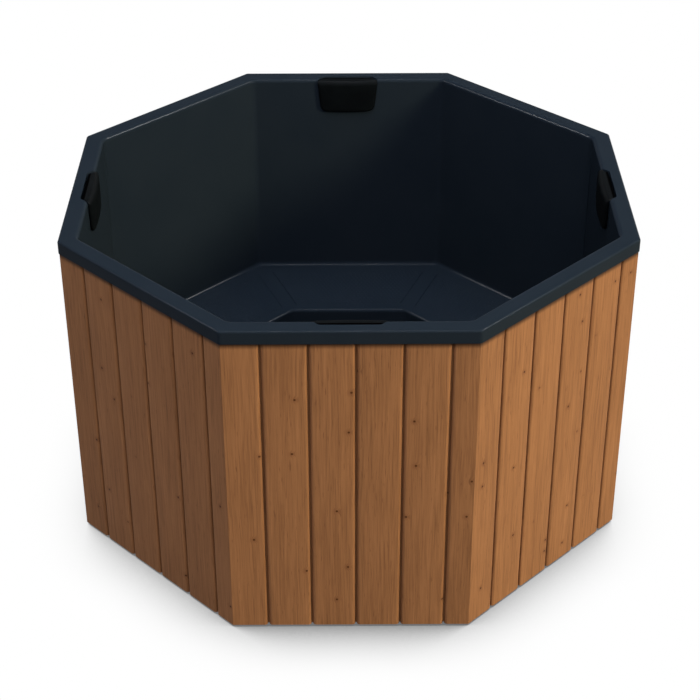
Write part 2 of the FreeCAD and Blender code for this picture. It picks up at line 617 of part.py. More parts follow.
boards = []
for i in range(6):
    outline = []
    if i == 0:
        left = None
        outline.append((mitre("-", CLAD), FACE))
    else:
        left = f"({joint(i - 1)} + dims.groove_gap / 2)"
        outline.append((left, FACE))
    if i == 5:
        right = None
        outline.append((mitre("+", CLAD), FACE))
        outline.append((mitre("+", CLAD_IN), BACK))
    else:
        right = f"({joint(i)} - dims.groove_gap / 2)"
        tip = f"{joint(i)} + dims.groove_gap / 2 + dims.tongue_reach"
        shoulder = f"{joint(i)} + dims.groove_gap / 2 - dims.shoulder_gap"
        outline.append((right, FACE))
        outline.append((right, TONGUE_FRONT))
        outline.append((tip, TONGUE_FRONT))
        outline.append((tip, TONGUE_BACK))
        outline.append((shoulder, TONGUE_BACK))
        outline.append((shoulder, BACK))
    if left is None:
        outline.append((mitre("-", CLAD_IN), BACK))
    else:
        bed = f"{left} + dims.tongue_reach + dims.shoulder_gap"
        outline.append((left, BACK))
        outline.append((left, f"{TONGUE_BACK} + dims.tongue_clear"))
        outline.append((bed, f"{TONGUE_BACK} + dims.tongue_clear"))
        outline.append((bed, f"{TONGUE_FRONT} - dims.tongue_clear"))
        outline.append((left, f"{TONGUE_FRONT} - dims.tongue_clear"))
    board = body_of(f"board_{i}")
    section = sketch_on(board, f"board_{i}_section", "XY_Plane", "dims.board_low_z")
    polygon(section, outline)
    step = pad(board, section, f"board_{i}_length", f"{BOARD_TOP} - dims.board_low_z")
    face_y = number("clad_setback") - number("rim_flats") / 2
    edge_x = number("rim_flats") / 2 * math.tan(math.pi / 8) - number("board_round_r")
    step = fillet(board, f"board_{i}_round", step,
                  lambda edge: (edge.BoundBox.ZLength > 100 and abs(edge.BoundBox.YMin - face_y) < 0.01
                                and abs(edge.BoundBox.XMin) < edge_x),
                  "dims.board_round_r")
    strip = sketch_on(board, f"board_{i}_rebate", "XY_Plane", "dims.rim_z - dims.skirt_drop - dims.rebate_gap")
    depth = f"-({SKIRT_IN} - dims.rebate_clear)"
    reach = f"{CLAD}"
    polygon(strip, [(f"-{reach}", depth), (f"-{reach}", f"{FACE} - dims.board_thick"),
                    (reach, f"{FACE} - dims.board_thick"), (reach, depth)])
    pocket(board, strip, f"board_{i}_head", "2 * dims.skirt_drop", upwards=True)
    boards.append(board)

# Battens behind the boards, mitred like them.
UPPER_BATTEN = "(dims.rim_z - dims.notch_drop - dims.upper_batten_gap - dims.batten_height)"
BATTENS = {"lower": "dims.board_low_z", "middle": "dims.middle_batten_z", "upper": UPPER_BATTEN}


def mitred_bar(name, outer, inner, low, height):
    body = body_of(name)
    section = sketch_on(body, f"{name}_plan", "XY_Plane", low)
    polygon(section, [(mitre("-", outer), f"-{outer}"), (mitre("+", outer), f"-{outer}"),
                      (mitre("+", inner), f"-{inner}"), (mitre("-", inner), f"-{inner}")])
    pad(body, section, f"{name}_height", height)
    return body


battens = [mitred_bar(f"{level}_batten", CLAD_IN, FRAME, low, "dims.batten_height")
           for level, low in BATTENS.items()]

# The back boards are bored for the two heater pipes and the drain pipe.
bores = [
    solid("Cylinder", f"board_bore_{side}",
          {"Radius": "dims.port_dia / 2 + dims.hole_clear", "Height": "3 * dims.board_thick"},
          (f"{sign} dims.port_spread / 2", f"{CLAD_IN} - dims.board_thick", "dims.port_z"), lying=True)
    for side, sign in (("left", "-"), ("right", "+"))
]
bores.append(solid("Cylinder", "board_bore_drain",
                   {"Radius": "dims.drain_dia / 2 + dims.hole_clear", "Height": "3 * dims.board_thick"},
                   ("dims.drain_x", f"{CLAD_IN} - dims.board_thick", "dims.drain_z"), lying=True))
for k, face in enumerate(FACES):
    if face == "back":
        nodes["cladding_back"] = cut("cladding_back", group("back_boards", boards, k), group("bores", bores))
    else:
        nodes[f"cladding_{face}"] = group(f"cladding_{face}", boards, k)
    nodes[f"battens_{face}"] = group(f"battens_{face}", battens, k)

# Bent plates tie the middle and upper battens of neighbouring panels.
plates = []
for level in ("middle", "upper"):
    plate = body_of(f"{level}_plate")
    centre = f"{BATTENS[level]} + (dims.batten_height - dims.plate_height) / 2"
    section = sketch_on(plate, f"{level}_plate_plan", "XY_Plane", centre)
    inner = f"({FRAME} - dims.plate_thick)"
    half = "sqrt(2) / 2"
    polygon(section, [
        (f"{FRAME} * {T} - dims.plate_leg", f"-{FRAME}"),
        (f"{FRAME} * {T}", f"-{FRAME}"),
        (f"{FRAME} * {T} + dims.plate_leg * {half}", f"-{FRAME} + dims.plate_leg * {half}"),
        (f"{inner} * {T} + dims.plate_leg * {half}", f"-{inner} + dims.plate_leg * {half}"),
        (f"{inner} * {T}", f"-{inner}"),
        (f"{FRAME} * {T} - dims.plate_leg", f"-{inner}"),
    ])
    pad(plate, section, f"{level}_plate_height", "dims.plate_height")
    plates.append(plate)
nodes["corner_plates"] = all_round("corner_plates", plates)

# Base frame: sole plates on the ground, posts on their corners, rails under the seat, bearers under the well.
sole = mitred_bar("sole_plate", FRAME, f"({FRAME} - dims.sole_size)", "0", "dims.sole_size")
for k, face in enumerate(FACES):
    nodes[f"sole_plate_{face}"] = group(f"sole_plate_{face}", [sole], k)
RAIL_OUT = f"({FRAME} - dims.rail_setback)"
RAIL_IN = f"({RAIL_OUT} - dims.rail_width)"
SEAT_UNDER = (f"({SEAT_FRONT} - dims.shell_wall + dims.seat_fall * ({RAIL_IN} - {WELL} - dims.shell_wall)"
              " / dims.seat_depth)")
RAIL_LOW = f"({SEAT_UNDER} - dims.rail_clear - dims.rail_height)"
rail = mitred_bar("seat_rail", RAIL_OUT, RAIL_IN, RAIL_LOW, "dims.rail_height")
nodes["seat_rails"] = all_round("seat_rails", [rail])
post = body_of("corner_post")
section = sketch_on(post, "corner_post_plan", "XY_Plane", "dims.sole_size")
NEAR = f"({FRAME} * {T})"
half = "sqrt(2) / 2"
polygon(section, [
    (NEAR, f"-{FRAME}"),
    (f"{NEAR} + dims.post_leg * {half}", f"-{FRAME} + dims.post_leg * {half}"),
    (f"{NEAR} + dims.post_leg * {half} - dims.post_depth * sin(22.5)",
     f"-{FRAME} + dims.post_leg * {half} + dims.post_depth * cos(22.5)"),
    (f"{NEAR} - dims.post_leg - dims.post_depth * sin(22.5)", f"-{FRAME} + dims.post_depth * cos(22.5)"),
    (f"{NEAR} - dims.post_leg", f"-{FRAME}"),
])
pad(post, section, "corner_post_height", f"{RAIL_LOW} - dims.sole_size")
nodes["corner_posts"] = all_round("corner_posts", [post])
LONG = f"({FRAME} - dims.sole_size)"
for side, sign in (("left", "-1"), ("middle", "0"), ("right", "1")):
    nodes[f"bearer_{side}"] = solid(
        "Box", f"bearer_{side}",
        {"Length": "dims.bearer_width", "Width": f"2 * {LONG}", "Height": "dims.bearer_depth"},
        (f"{sign} * dims.bearer_pitch - dims.bearer_width / 2", f"-{LONG}", "0"))

# Heater ports in the back riser of the foot well, each with its pipe through the back boards.
SIDES = (("return", "-"), ("supply", "+"))
TUBE = "dims.port_dia / 2"
PORT_BORE = "(dims.port_dia / 2 - dims.port_wall)"
RISER = WELL
RISER_BACK = f"({WELL} + dims.shell_wall)"
FLANGE = f"({RISER} - dims.gasket_thick)"
TUBE_END = f"({FLANGE} + dims.port_tube_reach)"
SLEEVE = f"({TUBE_END} - dims.coupling_length / 2)"
rings = {"heater_flanges": [], "heater_gaskets": [], "heater_locknuts": [], "heater_couplings": [],
         "heater_collars": []}
for side, sign in SIDES:
    at = (f"{sign} dims.port_spread / 2", "0", "dims.port_z")
    brim = "dims.port_flange_dia / 2"
    edge = "dims.port_flange_thick / 2"
    rings["heater_flanges"].append(turned(f"{side}_flange", "Y", [
        (f"{FLANGE} - dims.port_flange_thick", PORT_BORE),
        (f"{FLANGE} - dims.port_flange_thick", f"{brim} - {edge}"),
        (f"{FLANGE} - {edge}", brim), (FLANGE, brim), (FLANGE, TUBE), (TUBE_END, TUBE), (TUBE_END, PORT_BORE),
    ], at))
    rings["heater_gaskets"].append(turned(f"{side}_gasket", "Y", [
        (FLANGE, f"{TUBE} + dims.run_clear"), (FLANGE, f"{brim} - {edge}"), (RISER, f"{brim} - {edge}"),
        (RISER, f"{TUBE} + dims.run_clear"),
    ], at))
    nut = solid("Prism", f"{side}_nut_blank",
                {"Circumradius": "dims.port_nut_dia / 2", "Height": "dims.port_nut_thick"},
                (at[0], RISER_BACK, at[2]), lying=True)
    thread = solid("Cylinder", f"{side}_nut_bore",
                   {"Radius": f"{TUBE} + dims.fit_clear", "Height": "dims.port_nut_thick"},
                   (at[0], RISER_BACK, at[2]), lying=True)
    rings["heater_locknuts"].append(cut(f"{side}_nut", nut, thread))
    rings["heater_couplings"].append(turned(f"{side}_coupling", "Y", [
        (SLEEVE, f"{TUBE} + dims.fit_clear"), (SLEEVE, f"{TUBE} + dims.coupling_wall"),
        (f"{SLEEVE} + dims.coupling_length", f"{TUBE} + dims.coupling_wall"),
        (f"{SLEEVE} + dims.coupling_length", f"{TUBE} + dims.fit_clear"),
    ], at))
    rings["heater_collars"].append(turned(f"{side}_collar", "Y", [
        (CLAD, f"{TUBE} + dims.fit_clear"), (CLAD, f"{TUBE} + dims.collar_width"),
        (f"{CLAD} + dims.collar_thick / 2", f"{TUBE} + dims.collar_width"),
        (f"{CLAD} + dims.collar_thick", f"{TUBE} + dims.collar_width - dims.collar_thick / 2"),
        (f"{CLAD} + dims.collar_thick", f"{TUBE} + dims.fit_clear"),
    ], at))
    start = f"{TUBE_END} + dims.run_clear"
    shoulder = f"{CLAD} + dims.collar_thick"
    stop = f"{CLAD} + dims.stub_reach"
    spigot = "dims.port_spigot_dia / 2"
    nodes[f"heater_{side}_pipe"] = turned(f"heater_{side}_pipe", "Y", [
        (start, PORT_BORE), (start, TUBE), (shoulder, TUBE), (shoulder, spigot), (stop, spigot),
        (stop, PORT_BORE),
    ], at)
for name, things in rings.items():
    nodes[name] = group(name, things)

# Floor drain: a flange screwed into a cup under the floor, with a lift-out strainer.
waste = ("dims.drain_x", "dims.drain_y", "0")
W_TUBE = "dims.waste_tube_dia / 2"
W_BORE = "dims.waste_bore_dia / 2"
W_BRIM = "dims.waste_flange_dia / 2"
W_LOW = f"({FLOOR} + dims.gasket_thick)"
W_TOP = f"({W_LOW} + dims.waste_flange_thick)"
nodes["drain_flange"] = turned("drain_flange", "Z", [
    (W_BORE, f"{W_LOW} - dims.waste_tube_drop"), (W_TUBE, f"{W_LOW} - dims.waste_tube_drop"), (W_TUBE, W_LOW),
    (W_BRIM, W_LOW), (W_BRIM, f"{W_LOW} + dims.waste_flange_thick / 2"),
    (f"{W_BRIM} - dims.waste_flange_thick / 2", W_TOP), (W_BORE, W_TOP),
], waste)
nodes["drain_gasket"] = turned("drain_gasket", "Z", [
    (f"{W_TUBE} + dims.run_clear", FLOOR), (f"{W_BRIM} - dims.waste_flange_thick / 2", FLOOR),
    (f"{W_BRIM} - dims.waste_flange_thick / 2", W_LOW), (f"{W_TUBE} + dims.run_clear", W_LOW),
], waste)
CUP_TOP = "dims.bearer_depth"
CUP_LOW = "(dims.bearer_depth - dims.sump_depth)"
CUP = "dims.sump_dia / 2"
cup = turned("cup", "Z", [
    ("0", CUP_LOW), (f"{CUP} - dims.sump_wall", CUP_LOW), (CUP, f"{CUP_LOW} + dims.sump_wall"), (CUP, CUP_TOP),
    (f"{W_TUBE} + dims.fit_clear", CUP_TOP), (f"{W_TUBE} + dims.fit_clear", f"{CUP_TOP} - dims.sump_neck"),
    (f"{CUP} - dims.sump_wall", f"{CUP_TOP} - dims.sump_neck - dims.sump_wall"),
    (f"{CUP} - dims.sump_wall", f"{CUP_LOW} + dims.sump_wall"), ("0", f"{CUP_LOW} + dims.sump_wall"),
], waste)
PIPE = "dims.drain_dia / 2"
PIPE_BORE = "(dims.drain_dia / 2 - dims.drain_wall)"
CUP_EDGE = f"(dims.drain_y + {CUP})"
spigot = solid("Cylinder", "cup_spigot",
               {"Radius": f"{PIPE} + dims.socket_wall", "Height": "dims.socket_length + 2 * dims.sump_wall"},
               ("dims.drain_x", f"{CUP_EDGE} - 2 * dims.sump_wall", "dims.drain_z"), lying=True)
socket = solid("Cylinder", "cup_socket",
               {"Radius": f"{PIPE} + dims.fit_clear", "Height": "dims.socket_length"},
               ("dims.drain_x", f"{CUP_EDGE} + dims.sump_wall", "dims.drain_z"), lying=True)
port = solid("Cylinder", "cup_port", {"Radius": PIPE_BORE, "Height": "dims.socket_length"},
             ("dims.drain_x", f"{CUP_EDGE} - 4 * dims.sump_wall", "dims.drain_z"), lying=True)
cavity = solid("Cylinder", "cup_room",
               {"Radius": f"{CUP} - dims.sump_wall",
                "Height": "dims.sump_depth - dims.sump_neck - 2 * dims.sump_wall"},
               ("dims.drain_x", "dims.drain_y", f"{CUP_LOW} + dims.sump_wall"))
hollow = fuse("cup_openings", [socket, port, cavity])
nodes["drain_sump"] = cut("drain_sump", fuse("cup_full", [cup, spigot]), hollow)
grate = turned("drain_strainer", "Z", [
    (f"{W_BORE} - dims.run_clear - dims.grate_wall", f"{W_TOP} - dims.grate_skirt"),
    (f"{W_BORE} - dims.run_clear", f"{W_TOP} - dims.grate_skirt"),
    (f"{W_BORE} - dims.run_clear", f"{W_TOP} + dims.run_clear"),
    ("dims.grate_dia / 2", f"{W_TOP} + dims.run_clear"),
    ("dims.grate_dia / 2", f"{W_TOP} + dims.run_clear + dims.grate_wall / 2"),
    (f"{W_BORE} - dims.run_clear", f"{W_TOP} + dims.grate_crown"),
    ("0", f"{W_TOP} + dims.grate_crown"),
    ("0", f"{W_TOP} + dims.grate_crown - dims.grate_wall"),
    (f"{W_BORE} - dims.run_clear - dims.grate_wall", f"{W_TOP} + dims.grate_crown - dims.grate_wall"),
], waste)
slot = sketch_on(grate, "strainer_slot", "XY_Plane", f"{W_TOP} + 2 * dims.grate_crown")
near = "dims.grate_hub / 2"
far = f"({W_BORE} - dims.run_clear - 2 * dims.grate_wall)"
polygon(slot, [(near, "-dims.grate_slot / 2"), (far, "-dims.grate_slot / 2"), (far, "dims.grate_slot / 2"),
               (near, "dims.grate_slot / 2")])
opening_cut = pocket(grate, slot, "strainer_slot_cut", "2 * dims.grate_crown")
star = grate.newObject("PartDesign::PolarPattern", "strainer_slots")
star.Originals = [opening_cut]
star.Axis = (slot, ["N_Axis"])
star.Angle = 360
star.Occurrences = 8
grate.Tip = star
doc.recompute()
nodes["drain_strainer"] = grate

# Drain pipe to a ball valve outside the back boards.
line = ("dims.drain_x", "0", "dims.drain_z")
COLLAR_OUT = f"({CLAD} + dims.collar_thick)"
VALVE = f"({COLLAR_OUT} + dims.valve_stand)"
CHAMBER = f"({VALVE} + dims.valve_socket)"
MIDDLE = f"({CHAMBER} + dims.valve_body_length / 2)"
CHAMBER_END = f"({CHAMBER} + dims.valve_body_length)"
VALVE_END = f"({CHAMBER_END} + dims.valve_socket)"
pipe_from = f"({CUP_EDGE} + 2 * dims.sump_wall)"
pipe_to = f"({CHAMBER} - dims.run_clear)"
nodes["drain_pipe"] = turned("drain_pipe", "Y", [
    (pipe_from, PIPE_BORE), (pipe_from, PIPE), (pipe_to, PIPE), (pipe_to, PIPE_BORE)], line)
nodes["drain_collar"] = turned("drain_collar", "Y", [
    (CLAD, f"{PIPE} + dims.fit_clear"), (CLAD, f"{PIPE} + dims.collar_width"),
    (f"{CLAD} + dims.collar_thick / 2", f"{PIPE} + dims.collar_width"),
    (COLLAR_OUT, f"{PIPE} + dims.collar_width - dims.collar_thick / 2"), (COLLAR_OUT, f"{PIPE} + dims.fit_clear"),
], line)
END = "dims.valve_end_dia / 2"
BULGE = "dims.valve_body_dia / 2"
BALL_BORE = "dims.ball_bore_dia / 2"
SOCKET = f"({PIPE} + dims.fit_clear)"
ROOM = "(dims.ball_dia / 2 + dims.run_clear)"
casing = turned("valve_casing", "Y", [
    (VALVE, SOCKET), (VALVE, END), (CHAMBER, END), (CHAMBER, f"{BULGE} - dims.valve_seat"),
    (f"{CHAMBER} + dims.valve_seat", BULGE), (f"{CHAMBER_END} - dims.valve_seat", BULGE),
    (CHAMBER_END, f"{BULGE} - dims.valve_seat"), (CHAMBER_END, END), (VALVE_END, END), (VALVE_END, SOCKET),
    (CHAMBER_END, SOCKET), (CHAMBER_END, BALL_BORE), (f"{CHAMBER_END} - dims.valve_seat", BALL_BORE),
    (f"{CHAMBER_END} - dims.valve_seat", ROOM), (f"{CHAMBER} + dims.valve_seat", ROOM),
    (f"{CHAMBER} + dims.valve_seat", BALL_BORE), (CHAMBER, BALL_BORE), (CHAMBER, SOCKET),
], line)
on_stem = ("dims.drain_x", MIDDLE, "dims.drain_z")
boss = solid("Cylinder", "valve_boss",
             {"Radius": "dims.boss_dia / 2", "Height": f"dims.boss_top - {ROOM} - dims.run_clear"},
             (on_stem[0], on_stem[1], f"dims.drain_z + {ROOM} + dims.run_clear"))
stem_bore = solid("Cylinder", "stem_bore",
                  {"Radius": "dims.stem_dia / 2 + dims.run_clear", "Height": "dims.boss_top"},
                  (on_stem[0], on_stem[1], "dims.drain_z + dims.stem_root"))
nodes["valve_body"] = cut("valve_body", fuse("valve_full", [casing, boss]), stem_bore)
sphere = solid("Sphere", "ball_blank", {"Radius": "dims.ball_dia / 2"}, on_stem)
ball_bore = doc.addObject("Part::Cylinder", "ball_bore")
ball_bore.Placement = FreeCAD.Placement(FreeCAD.Vector(), FreeCAD.Rotation(FreeCAD.Vector(0, 1, 0), 90))
ball_bore.setExpression("Radius", BALL_BORE)
ball_bore.setExpression("Height", "2 * dims.ball_dia")
place(ball_bore, ("dims.drain_x - dims.ball_dia", MIDDLE, "dims.drain_z"))
stem_seat = solid("Cylinder", "stem_seat",
                  {"Radius": "dims.stem_dia / 2 + dims.fit_clear", "Height": "dims.ball_dia"},
                  (on_stem[0], on_stem[1], "dims.drain_z + dims.stem_root - dims.fit_clear"))
nodes["valve_ball"] = cut("valve_ball", sphere, fuse("ball_openings", [ball_bore, stem_seat]))
nodes["valve_stem"] = solid("Cylinder", "valve_stem",
                            {"Radius": "dims.stem_dia / 2", "Height": "dims.stem_top - dims.stem_root"},
                            (on_stem[0], on_stem[1], "dims.drain_z + dims.stem_root"))
HUB_LOW = "(dims.drain_z + dims.boss_top + dims.hub_lift)"
lever = body_of("valve_lever")
hub = sketch_on(lever, "lever_hub", "XY_Plane", HUB_LOW)
circle(hub, "0", "0", "dims.hub_dia / 2")
pad(lever, hub, "lever_hub_height", "dims.hub_height")
arm = sketch_on(lever, "lever_arm", "XY_Plane", f"{HUB_LOW} + (dims.hub_height - dims.lever_thick) / 2")
polygon(arm, [("0", "-dims.lever_width / 2"), ("dims.lever_reach", "-dims.lever_width / 2"),
              ("dims.lever_reach", "dims.lever_width / 2"), ("0", "dims.lever_width / 2")])
step = pad(lever, arm, "lever_arm_thick", "dims.lever_thick")
reach = number("lever_reach")
step = fillet(lever, "lever_tip", step,
              lambda edge: edge.BoundBox.ZLength > 1 and abs(edge.BoundBox.XMin - reach) < 0.01,
              "dims.lever_width / 2 - 1")
eye = sketch_on(lever, "lever_eye", "XY_Plane", f"{HUB_LOW} + 2 * dims.hub_height")
circle(eye, "0", "0", "dims.stem_dia / 2 + dims.fit_clear")
pocket(lever, eye, "lever_eye_bore", "3 * dims.hub_height")
place(lever, ("dims.drain_x", MIDDLE, "0"))
nodes["valve_lever"] = lever
unions = []
for side, low in (("inlet", VALVE), ("outlet", CHAMBER_END)):
    blank = solid("Prism", f"{side}_union_blank",
                  {"Circumradius": "dims.union_dia / 2", "Height": "dims.valve_socket - 2 * dims.run_clear"},
                  ("dims.drain_x", f"{low} + dims.run_clear", "dims.drain_z"), lying=True)
    blank.Polygon = 12
    bored = solid("Cylinder", f"{side}_union_bore",
                  {"Radius": f"{END} + dims.fit_clear", "Height": "dims.valve_socket"},
                  ("dims.drain_x", low, "dims.drain_z"), lying=True)
    unions.append(cut(f"{side}_union", blank, bored))
nodes["valve_union_nuts"] = group("valve_union_nuts", unions)
out_from = f"({CHAMBER_END} + dims.run_clear)"
out_to = f"({VALVE_END} + dims.outlet_reach)"
OUTLET = "dims.outlet_dia / 2"
OUTLET_BORE = "(dims.outlet_dia / 2 - dims.outlet_wall)"
nodes["drain_outlet"] = turned("drain_outlet", "Y", [
    (out_from, OUTLET_BORE), (out_from, PIPE), (VALVE_END, PIPE), (VALVE_END, OUTLET), (out_to, OUTLET),
    (out_to, OUTLET_BORE),
], line)

doc.recompute()
for thing in doc.Objects:
    if "Invalid" in thing.State or "Error" in thing.State:
        raise RuntimeError(f"{thing.Name} did not build: {thing.State}")
os.makedirs("parts", exist_ok=True)
for name, thing in nodes.items():
    thing.Label = name
    shape = thing.Shape
    if shape.isNull() or not shape.isValid() or not shape.Solids:
        raise RuntimeError(f"{name} has no valid solid")
    shape.exportStep(f"parts/{name}.step")
    box = shape.BoundBox
    print(f"{name}: {len(shape.Solids)} solids, {shape.Volume / 1000:.1f} cm3, "
          f"x {box.XMin:.1f} {box.XMax:.1f}, y {box.YMin:.1f} {box.YMax:.1f}, z {box.ZMin:.1f} {box.ZMax:.1f}")
print(f"{len(nodes)} nodes")
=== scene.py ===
# %% [markdown]
# # An octagonal wooden hot tub
# The tub is a dark moulded liner hung in a ring of brown stained boards, with four black headrests in its
# rim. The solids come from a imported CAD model. This script dresses them: boards with grain and knots,
# foam pads, plumbing plastics, a floor and a light. Every length is in metres, in the frame of the model,
# so nothing needs fitting.

# %% Load the model
import json
import math

import bmesh
import bpy
from mathutils import Matrix, Vector

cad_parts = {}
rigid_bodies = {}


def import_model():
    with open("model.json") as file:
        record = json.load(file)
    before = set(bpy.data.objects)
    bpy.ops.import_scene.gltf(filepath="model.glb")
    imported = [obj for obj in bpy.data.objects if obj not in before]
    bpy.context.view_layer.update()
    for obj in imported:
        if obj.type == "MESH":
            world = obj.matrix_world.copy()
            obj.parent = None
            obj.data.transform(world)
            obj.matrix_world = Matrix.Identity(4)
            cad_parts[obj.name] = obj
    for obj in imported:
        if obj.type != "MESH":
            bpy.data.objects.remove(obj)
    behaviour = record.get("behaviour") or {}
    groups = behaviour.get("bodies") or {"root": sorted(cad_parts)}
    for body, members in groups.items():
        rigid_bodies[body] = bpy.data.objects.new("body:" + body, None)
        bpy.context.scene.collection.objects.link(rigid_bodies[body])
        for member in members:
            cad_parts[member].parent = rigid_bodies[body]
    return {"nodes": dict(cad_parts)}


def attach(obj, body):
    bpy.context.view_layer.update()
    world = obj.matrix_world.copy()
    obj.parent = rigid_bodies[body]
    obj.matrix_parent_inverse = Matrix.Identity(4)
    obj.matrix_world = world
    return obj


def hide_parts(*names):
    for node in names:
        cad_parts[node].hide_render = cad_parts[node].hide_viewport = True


for stray in list(bpy.data.objects):
    bpy.data.objects.remove(stray)
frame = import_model()
scene = bpy.context.scene
nodes = frame["nodes"]
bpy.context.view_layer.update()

# %% [markdown]
# ## Small helpers
# Colours are easiest to read from a photograph as sRGB hex, but a shader works with linear light, so one
# function converts them. Node trees are long when every link is written out. One function that adds a
# node, sets it and links it keeps each material to a few lines, in the order in which the light meets it.

# %% Colour and node helpers
def linear(hex_colour):
    """An sRGB hex colour as the linear RGBA of a colour socket."""
    parts = [int(hex_colour[i:i + 2], 16) / 255 for i in (0, 2, 4)]
    return tuple(c / 12.92 if c <= 0.04045 else ((c + 0.055) / 1.055) ** 2.4 for c in parts) + (1.0,)


def node(tree, kind, inputs=None, **settings):
    """Adds a node. inputs, by name or number, holds values, sockets to link, or nodes to link by their
    first output. A list links several to one input."""
    new = tree.nodes.new(kind)
    for name, value in settings.items():
        setattr(new, name, value)
    for key, value in (inputs or {}).items():
        several = value if isinstance(value, list) else [value]
        for one in several:
            if isinstance(one, bpy.types.Node):
                one = one.outputs[0]
            if isinstance(one, bpy.types.NodeSocket):
                tree.links.new(one, new.inputs[key])
            else:
                new.inputs[key].default_value = one
    return new


def material(name):
    """An empty material and its node tree."""
    new = bpy.data.materials.new(name)
    new.use_nodes = True
    new.node_tree.nodes.clear()
    return new, new.node_tree


def put_on(object_or_name, finish):
    """Gives a whole piece, or a CAD node by its name, one material."""
    piece = nodes[object_or_name] if isinstance(object_or_name, str) else object_or_name
    if not piece.material_slots:
        piece.data.materials.append(finish)
    for slot in piece.material_slots:
        slot.material = finish


print("board brown in linear light", [round(v, 3) for v in linear("94633C")])

# %% [markdown]
# ## Camera
# The picture was taken from in front of one flat side, looking down by about a third of a right angle.
# Elevation, distance and lens were fitted to the corners of the rim and of the boards, and the small
# shift puts the tub where it stands in the frame. A target and angles are easier to adjust than a typed
# rotation.

# %% Camera
AIM = Vector((0.0, 0.0, 0.49))
ELEVATION = 32.04
AZIMUTH = -0.21
ROLL = -0.13
DISTANCE = 5.298


def toward(turn, rise):
    """The direction to a point turned to the right of the front and raised, both in degrees."""
    turn, rise = math.radians(turn), math.radians(rise)
    return Vector((math.sin(turn) * math.cos(rise), -math.cos(turn) * math.cos(rise), math.sin(rise)))


def looking_back(away, distance):
    """The place of a camera or lamp that stands off in a direction and looks back at the tub."""
    return Matrix.Translation(AIM + away * distance) @ away.to_track_quat("Z", "Y").to_matrix().to_4x4()


lens = bpy.data.cameras.new("camera")
lens.sensor_width = 36.0
lens.lens = 89.33
lens.shift_x = 0.0016
lens.shift_y = -0.0317
camera = bpy.data.objects.new("camera", lens)
scene.collection.objects.link(camera)
place = looking_back(toward(AZIMUTH, ELEVATION), DISTANCE)
camera.matrix_world = place @ Matrix.Rotation(math.radians(ROLL), 4, "Z")
scene.camera = camera
print("camera at", [round(v, 2) for v in camera.location])

# %% [markdown]
# ## Floor
# The tub stands on a white ground that runs into a white background, with a soft dark edge where it meets
# the floor. The light bounces off a plain grey floor. The camera and reflections see it as white,
# darkened only close to the tub by ambient occlusion, which is what a contact shadow is. Looking for the
# tub a little towards the back makes the shadow deeper in front of the tub than beside it, as a light
# from behind would.

# %% Floor
FLOOR_HALF = 20.0
FLOOR_DROP = 0.001
SHADOW_REACH = 0.26
SHADOW_LEAN = math.radians(32)
SHADOW_DEPTH = 2.05
SHADOW_FALL = 3.0
SHADOW_DARKEST = 0.16

corners = [(x * FLOOR_HALF, y * FLOOR_HALF, -FLOOR_DROP) for x, y in ((-1, -1), (1, -1), (1, 1), (-1, 1))]
floor_mesh = bpy.data.meshes.new("floor")
floor_mesh.from_pydata(corners, [], [(0, 1, 2, 3)])
floor = bpy.data.objects.new("floor", floor_mesh)
scene.collection.objects.link(floor)
white_ground, tree = material("white_ground")
lean = node(tree, "ShaderNodeCombineXYZ", {"Y": math.sin(SHADOW_LEAN), "Z": math.cos(SHADOW_LEAN)})
open_sky = node(tree, "ShaderNodeAmbientOcclusion", {"Distance": SHADOW_REACH, "Normal": lean}, samples=32)
hidden = node(tree, "ShaderNodeMath", {0: 1.0, 1: open_sky.outputs["AO"]}, operation="SUBTRACT")
hidden = node(tree, "ShaderNodeMath", {0: hidden, 1: SHADOW_FALL}, operation="POWER")
tone = node(tree, "ShaderNodeMath", {0: hidden, 1: -SHADOW_DEPTH, 2: 1.0}, operation="MULTIPLY_ADD")
tone = node(tree, "ShaderNodeMath", {0: tone, 1: SHADOW_DARKEST}, operation="MAXIMUM")
seen = node(tree, "ShaderNodeEmission", {"Color": tone, "Strength": 1.0})
bounce = node(tree, "ShaderNodeBsdfDiffuse", {"Color": linear("707070")})
path = node(tree, "ShaderNodeLightPath").outputs
looks = node(tree, "ShaderNodeMath", {0: path["Is Camera Ray"], 1: path["Is Glossy Ray"]},
             operation="MAXIMUM")
looks = node(tree, "ShaderNodeMath", {0: looks, 1: path["Is Transmission Ray"]}, operation="MAXIMUM")
mixed = node(tree, "ShaderNodeMixShader", {0: looks, 1: bounce, 2: seen})
node(tree, "ShaderNodeOutputMaterial", {"Surface": mixed})
put_on(floor, white_ground)
print("floor", floor.dimensions[0], "m square, contact shadow within", SHADOW_REACH, "m")

# %% [markdown]
# ## Room
# The room is white to the camera. For diffuse light it is an even, lower and slightly blue level, which
# fills the shadows. For reflections it is white near the ground and dim overhead, as a studio is, so the
# flat rim stays dark.

# %% Room
COOL = (0.775, 0.808, 1.0)
AMBIENT = 0.50
CEILING = 0.10
WHITE_UP_TO = 0.10
DIM_FROM = 0.45

world = bpy.data.worlds.new("white_room")
world.use_nodes = True
tree = world.node_tree
tree.nodes.clear()
path = node(tree, "ShaderNodeLightPath").outputs
rise = node(tree, "ShaderNodeTexCoord").outputs["Generated"]
rise = node(tree, "ShaderNodeSeparateXYZ", {0: rise}).outputs["Z"]
studio = node(tree, "ShaderNodeMapRange", {"Value": rise, "From Min": WHITE_UP_TO, "From Max": DIM_FROM,
                                           "To Min": 1.0, "To Max": CEILING})
fill = tuple(AMBIENT * c for c in COOL) + (1.0,)
shade = node(tree, "ShaderNodeMix", {0: path["Is Glossy Ray"], 6: fill, 7: studio}, data_type="RGBA")
looks = node(tree, "ShaderNodeMath", {0: path["Is Camera Ray"], 1: path["Is Transmission Ray"]},
             operation="MAXIMUM")
shade = node(tree, "ShaderNodeMix", {0: looks, 6: shade.outputs[2], 7: (1, 1, 1, 1)}, data_type="RGBA")
